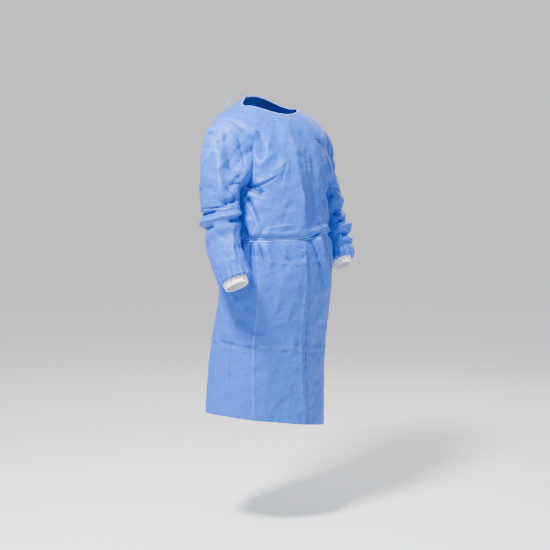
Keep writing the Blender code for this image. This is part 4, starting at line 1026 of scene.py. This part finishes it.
# Belt. A strip of the gown's own cloth, folded to 16 mm, that goes once round the waist outside
# the cloth, gathers it in and is knotted at the centre back, with two ends hanging down.
BELT_ROWS = (9.86, 10.14)    # levels of its edges
BELT_GAP = 0.0004
BELT_THICK = 0.0018
BELT_CLOTH = 0.0009
TRIM_LIFT = 0.0010           # room for trims over the overlap of the back panels
BELT_LIFT_ANGLES = (136.0, 156.0)
BELT_COLUMNS = 420
BELT_CROWN = ((0.0004,), (0.0013,), (0.0016,), (0.0014,), (0.0016,), (0.0013,), (0.0004,))
BELT_KNOT = (0.016, 0.008, 0.010)
KNOT_PROUD = 0.0006
SEAM_CLEAR = 0.0003
HANGING_ROWS = 64
HANGING_SPREAD = 4.0         # degrees that a hanging end drifts from the centre back
HANGING_GAP = 0.0014
HANGING_ARCH = 0.0050        # it arches off the cloth below its knot
HANGING_LIES = (0.05, 0.45)
# side, distance from the middle of the knot, degrees from the centre back, level where it comes
# to the cloth, level of its end
BELT_ENDS = {"belt_end_right": (-1, 0.009, 3.6, 10.6, 13.4),
             "belt_end_left": (1, 0.009, 3.6, 10.6, 12.9)}
# Columns across a flat strip and its thickness
STRIP_COLUMNS = 7
STRIP_THICK = 0.0009

# Folded double, and drawn in a paler tone of the same cloth that hides what is under it.
BELT_LIGHT = "4a80e6"
BELT_DENSE = "4278e0"


def belt_lift(angle):
    near_back = np.where(angle > 90.0, 180.0 - np.abs(angle - 180.0), np.abs(angle))
    return (OVERLAP_LIFT + TRIM_LIFT) * ease(*BELT_LIFT_ANGLES, near_back)


def tied_knot(name, middle, half_sizes, width, material):
    """A cloth strip tied in a close overhand knot: its path is a trefoil, flat side outward."""
    turn = np.linspace(0.0, 2 * np.pi, 97)[:-1]
    path = np.stack([np.sin(turn) + 2 * np.sin(2 * turn), 0.9 * np.sin(3 * turn),
                     np.cos(turn) - 2 * np.cos(2 * turn)], -1) / np.array([3.0, 0.9, 3.0])
    room = np.array(half_sizes) - np.array([width * 0.34, STRIP_THICK * 1.5, width * 0.34])
    path = path * room
    along = unit(np.roll(path, -1, axis=0) - np.roll(path, 1, axis=0))
    facing = unit(path * np.array([0.4, 1.0, 0.4]) + np.array([0.0, 0.001, 0.0]))
    facing = unit(facing - along * (facing * along).sum(-1, keepdims=True))
    across = np.cross(along, facing)
    around = np.linspace(0.0, 2 * np.pi, 13)[:-1]
    points = np.stack([path + across * (0.5 * width * math.cos(a))
                       + facing * (STRIP_THICK * 0.9 * math.sin(a)) for a in around], 1)
    knot = lay_cloth(name, points[:, ::-1] + middle, closed=True, closed_rows=True)
    knot.data.materials.append(material)
    return knot


def laid_strip(name, centres, across, facing, width):
    """A narrow folded strip of cloth along centres, a little raised along its middle."""
    places = np.linspace(-0.5, 0.5, STRIP_COLUMNS)
    points = np.stack([centres + across * (width * place)
                       + facing * (0.0004 * (1 - (2 * place) ** 2)) for place in places], 1)
    strip = lay_cloth(name, points)
    give_thickness(strip, STRIP_THICK, 0.0)
    return strip


def hanging_strip(name, below_knot, end, width):
    """A tie's loose end, from the place below a knot down over the outer back panel."""
    side, aside, turn, start_level, end_level = end
    start = below_knot + np.array([side * aside, 0.0, 0.0])
    share = np.linspace(0.0, 1.0, HANGING_ROWS)
    angle = side * (180.0 - turn - HANGING_SPREAD * share)
    level = start_level + (end_level - start_level) * share
    place, normal = worn_cloth(angle, level), outward(smooth_cloth, angle, level)
    across = unit(smooth_cloth(angle + 1.0, level) - smooth_cloth(angle - 1.0, level))
    lies = ease(*HANGING_LIES, share)[:, None]
    centres = start * (1 - lies) + (place + normal * (OVERLAP_LIFT + HANGING_GAP)) * lies
    centres = centres + normal * (HANGING_ARCH * bump(share - 0.24, 0.15))[:, None]
    centres[:, 2] = np.minimum(centres[:, 2], start[2])
    waver = 0.0012 * np.sin(7.0 * share + side) * ease(0.2, 0.6, share)
    centres = centres + normal * (0.0012 + np.abs(waver))[:, None]
    twist = 0.25 * np.sin(5.0 * share + 2 * side) * ease(0.1, 0.5, share)
    turned = across * np.cos(twist)[:, None] + normal * np.sin(twist)[:, None]
    return laid_strip(name, centres, turned, np.cross(turned, np.gradient(centres, axis=0)), width)


angle = 360.0 * np.arange(BELT_COLUMNS)[None] / BELT_COLUMNS
level = np.linspace(*BELT_ROWS, len(BELT_CROWN))[:, None]
round_angle = np.where(angle > 180.0, angle - 360.0, angle) + 0 * level
facing = outward(smooth_cloth, round_angle, level + 0 * angle)
crown = np.array(BELT_CROWN) + BELT_GAP + BELT_CLOTH * 0.5
uneven = 0.0003 * np.sin(np.radians(angle) * 23 + 2 * np.sin(np.radians(angle) * 5))
points = (worn_cloth(round_angle, level + 0 * angle)
          + facing * (belt_lift(angle) + crown + uneven)[..., None])
belt_cloth = bonded_cloth("spunbonded_polypropylene_doubled", BELT_LIGHT, BELT_DENSE,
                          CLOTH_PAINTED_FOLD_SHADE, CLOTH_CREST_WHITENING_AND_HIGHLIGHT)
belt = lay_cloth("gown_belt", points, closed=True)
give_thickness(belt, BELT_CLOTH)
hand_over(belt, belt_cloth, "gown_cloth", "belt")

back = np.array([180.0])
level = np.array([LEVEL_BELT])
facing = outward(worn_cloth, back, level)[0]
middle = worn_cloth(back, level)[0] + facing * (
    OVERLAP_LIFT + TRIM_LIFT + BELT_GAP + BELT_THICK + KNOT_PROUD + SEAM_CLEAR + BELT_KNOT[1])
belt_knot = tied_knot("gown_belt_knot", middle, BELT_KNOT, 0.011, belt_cloth)
hand_over(belt_knot, belt_cloth, "gown_cloth", "belt_knot")
for node, end in BELT_ENDS.items():
    below = middle - np.array([0.0, 0.0, BELT_KNOT[2] + SEAM_CLEAR])
    strip = hanging_strip("gown_" + node, below, end, 0.012)
    hand_over(strip, belt_cloth, "gown_cloth", node)


# Neck tie. Two narrow strips of the binding's cloth, folded and sewn, that close the collar in a
# bow at the nape: a knot, two loops that stand away from it and two short ends.
TIE_WIDTH = 0.010
NECK_KNOT = (0.010, 0.007, 0.009)
NAPE_LEVEL = 0.7
# Loop of the bow, from the knot at the nape. out to the side, back, up
NECK_LOOP = (
    (0.0089, 0.003, 0.003), (0.034, 0.018, 0.012), (0.060, 0.030, -0.002),
    (0.074, 0.038, -0.028), (0.066, 0.042, -0.048), (0.044, 0.036, -0.034),
    (0.0102, 0.006, -0.004),
)
LOOP_ROWS = 80
NECK_ENDS = {"neck_end_right": (-1, 0.0056, 4.0, 1.9, 3.7),
             "neck_end_left": (1, 0.0056, 4.0, 1.9, 3.3)}

level = np.array([NAPE_LEVEL])
facing = outward(worn_cloth, back, level)[0]
nape = worn_cloth(back, level)[0] + facing * (OVERLAP_LIFT + TRIM_LIFT + NECK_KNOT[1])
neck_knot = tied_knot("gown_neck_knot", nape, NECK_KNOT, 0.008, binding_cloth)
hand_over(neck_knot, binding_cloth, "binding_cloth", "neck_knot")
for node, side in (("neck_loop_right", -1), ("neck_loop_left", 1)):
    out, behind, rise = between_rows(NECK_LOOP, np.linspace(0.0, 6.0, LOOP_ROWS))
    centres = nape + np.stack([side * out, behind, rise], -1)
    along = unit(np.gradient(centres, axis=0))
    across = np.array([side * 0.30, -0.95, 0.0])
    across = unit(across - along * (along * across).sum(-1, keepdims=True))
    loop = laid_strip("gown_" + node, centres, across, np.cross(along, across), TIE_WIDTH)
    hand_over(loop, binding_cloth, "binding_cloth", node)
for node, end in NECK_ENDS.items():
    below = nape - np.array([0.0, 0.0, NECK_KNOT[2] + SEAM_CLEAR])
    strip = hanging_strip("gown_" + node, below, end, TIE_WIDTH)
    hand_over(strip, binding_cloth, "binding_cloth", node)


# The studio. A pale floor far below the hem, as the gown hangs at a wearer's height, and wide
# soft lamps: the key high on the viewer's left, a weak one on the right and one behind the gown.
FLOOR_HEIGHT = -1.46
FLOOR_RADIUS = 9.0
PAPER_WHITE = "fbfbfc"
PAPER_WORN = "f6f6f7"
ROOM_LIGHT = 0.82
VIEW_AZIMUTH = -40.0
VIEW_DISTANCE = 4.0
VIEW_HEIGHT = -0.30
IMAGE_SIDE = 550
FOCAL_PIXELS = 1140.0        # focal length that gives the photograph's scale
AXIS_PIXEL = 268.0           # image column of the gown's upright axis
HORIZON_PIXEL = 195.0        # image row of the camera's own height
SENSOR = 36.0

floor = bmesh.new()
bmesh.ops.create_circle(floor, cap_ends=True, segments=96, radius=FLOOR_RADIUS)
bmesh.ops.translate(floor, verts=floor.verts[:], vec=(0.0, 0.0, FLOOR_HEIGHT))
data = bpy.data.meshes.new("studio_floor")
floor.to_mesh(data)
floor.free()
studio_floor = bpy.data.objects.new("studio_floor", data)
bpy.context.scene.collection.objects.link(studio_floor)
paper = bpy.data.materials.new("matt_background_paper")
paper.use_nodes = True
tree = paper.node_tree
grain = add_node(tree, "ShaderNodeTexNoise", None,
                 {"Vector": add_node(tree, "ShaderNodeTexCoord").outputs["Object"],
                  "Scale": 60.0, "Detail": 3.0})
colour = add_node(tree, "ShaderNodeMix", {"data_type": "RGBA"}, {"Factor": grain.outputs["Fac"]})
colour.inputs["A"].default_value = linear(PAPER_WORN)
colour.inputs["B"].default_value = linear(PAPER_WHITE)
tree.links.new(colour.outputs["Result"], tree.nodes["Principled BSDF"].inputs["Base Color"])
tree.nodes["Principled BSDF"].inputs["Roughness"].default_value = 0.9
data.materials.append(paper)

world = bpy.data.worlds.new("studio")
bpy.context.scene.world = world
world.use_nodes = True
world.node_tree.nodes["Background"].inputs["Color"].default_value = (1.0, 1.0, 1.0, 1.0)
world.node_tree.nodes["Background"].inputs["Strength"].default_value = ROOM_LIGHT

turn = math.radians(VIEW_AZIMUTH)
to_right = Vector((math.cos(turn), math.sin(turn), 0.0))
to_viewer = Vector((math.sin(turn), -math.cos(turn), 0.0))
upward = Vector((0.0, 0.0, 1.0))

# name, toward the viewer, to the viewer's right, up, side, watts
LAMPS = (
    ("key", 1.60, -0.85, 1.55, 0.45, 290.0),
    ("fill", 1.9, 2.4, 0.3, 1.2, 10.0),
    ("behind", -2.4, 1.2, 1.2, 2.0, 45.0),
)
LIT = Vector((0.0, 0.0, -0.25))
for name, near, right, up, side, watts in LAMPS:
    lamp = bpy.data.lights.new("lamp_" + name, "AREA")
    lamp.shape = "SQUARE"
    lamp.size = side
    lamp.energy = watts
    holder = bpy.data.objects.new("lamp_" + name, lamp)
    holder.location = to_viewer * near + to_right * right + upward * up
    holder.rotation_euler = (LIT - holder.location).to_track_quat("-Z", "Y").to_euler()
    bpy.context.scene.collection.objects.link(holder)

lens = bpy.data.cameras.new("camera")
lens.sensor_width = SENSOR
lens.lens = FOCAL_PIXELS / IMAGE_SIDE * SENSOR
camera = bpy.data.objects.new("camera", lens)
camera.location = to_viewer * VIEW_DISTANCE + upward * VIEW_HEIGHT
aim = (to_right * ((IMAGE_SIDE / 2 - AXIS_PIXEL) / FOCAL_PIXELS * VIEW_DISTANCE)
       + upward * (VIEW_HEIGHT - (IMAGE_SIDE / 2 - HORIZON_PIXEL) / FOCAL_PIXELS * VIEW_DISTANCE))
camera.rotation_euler = (aim - camera.location).to_track_quat("-Z", "Y").to_euler()
bpy.context.scene.collection.objects.link(camera)
bpy.context.scene.camera = camera
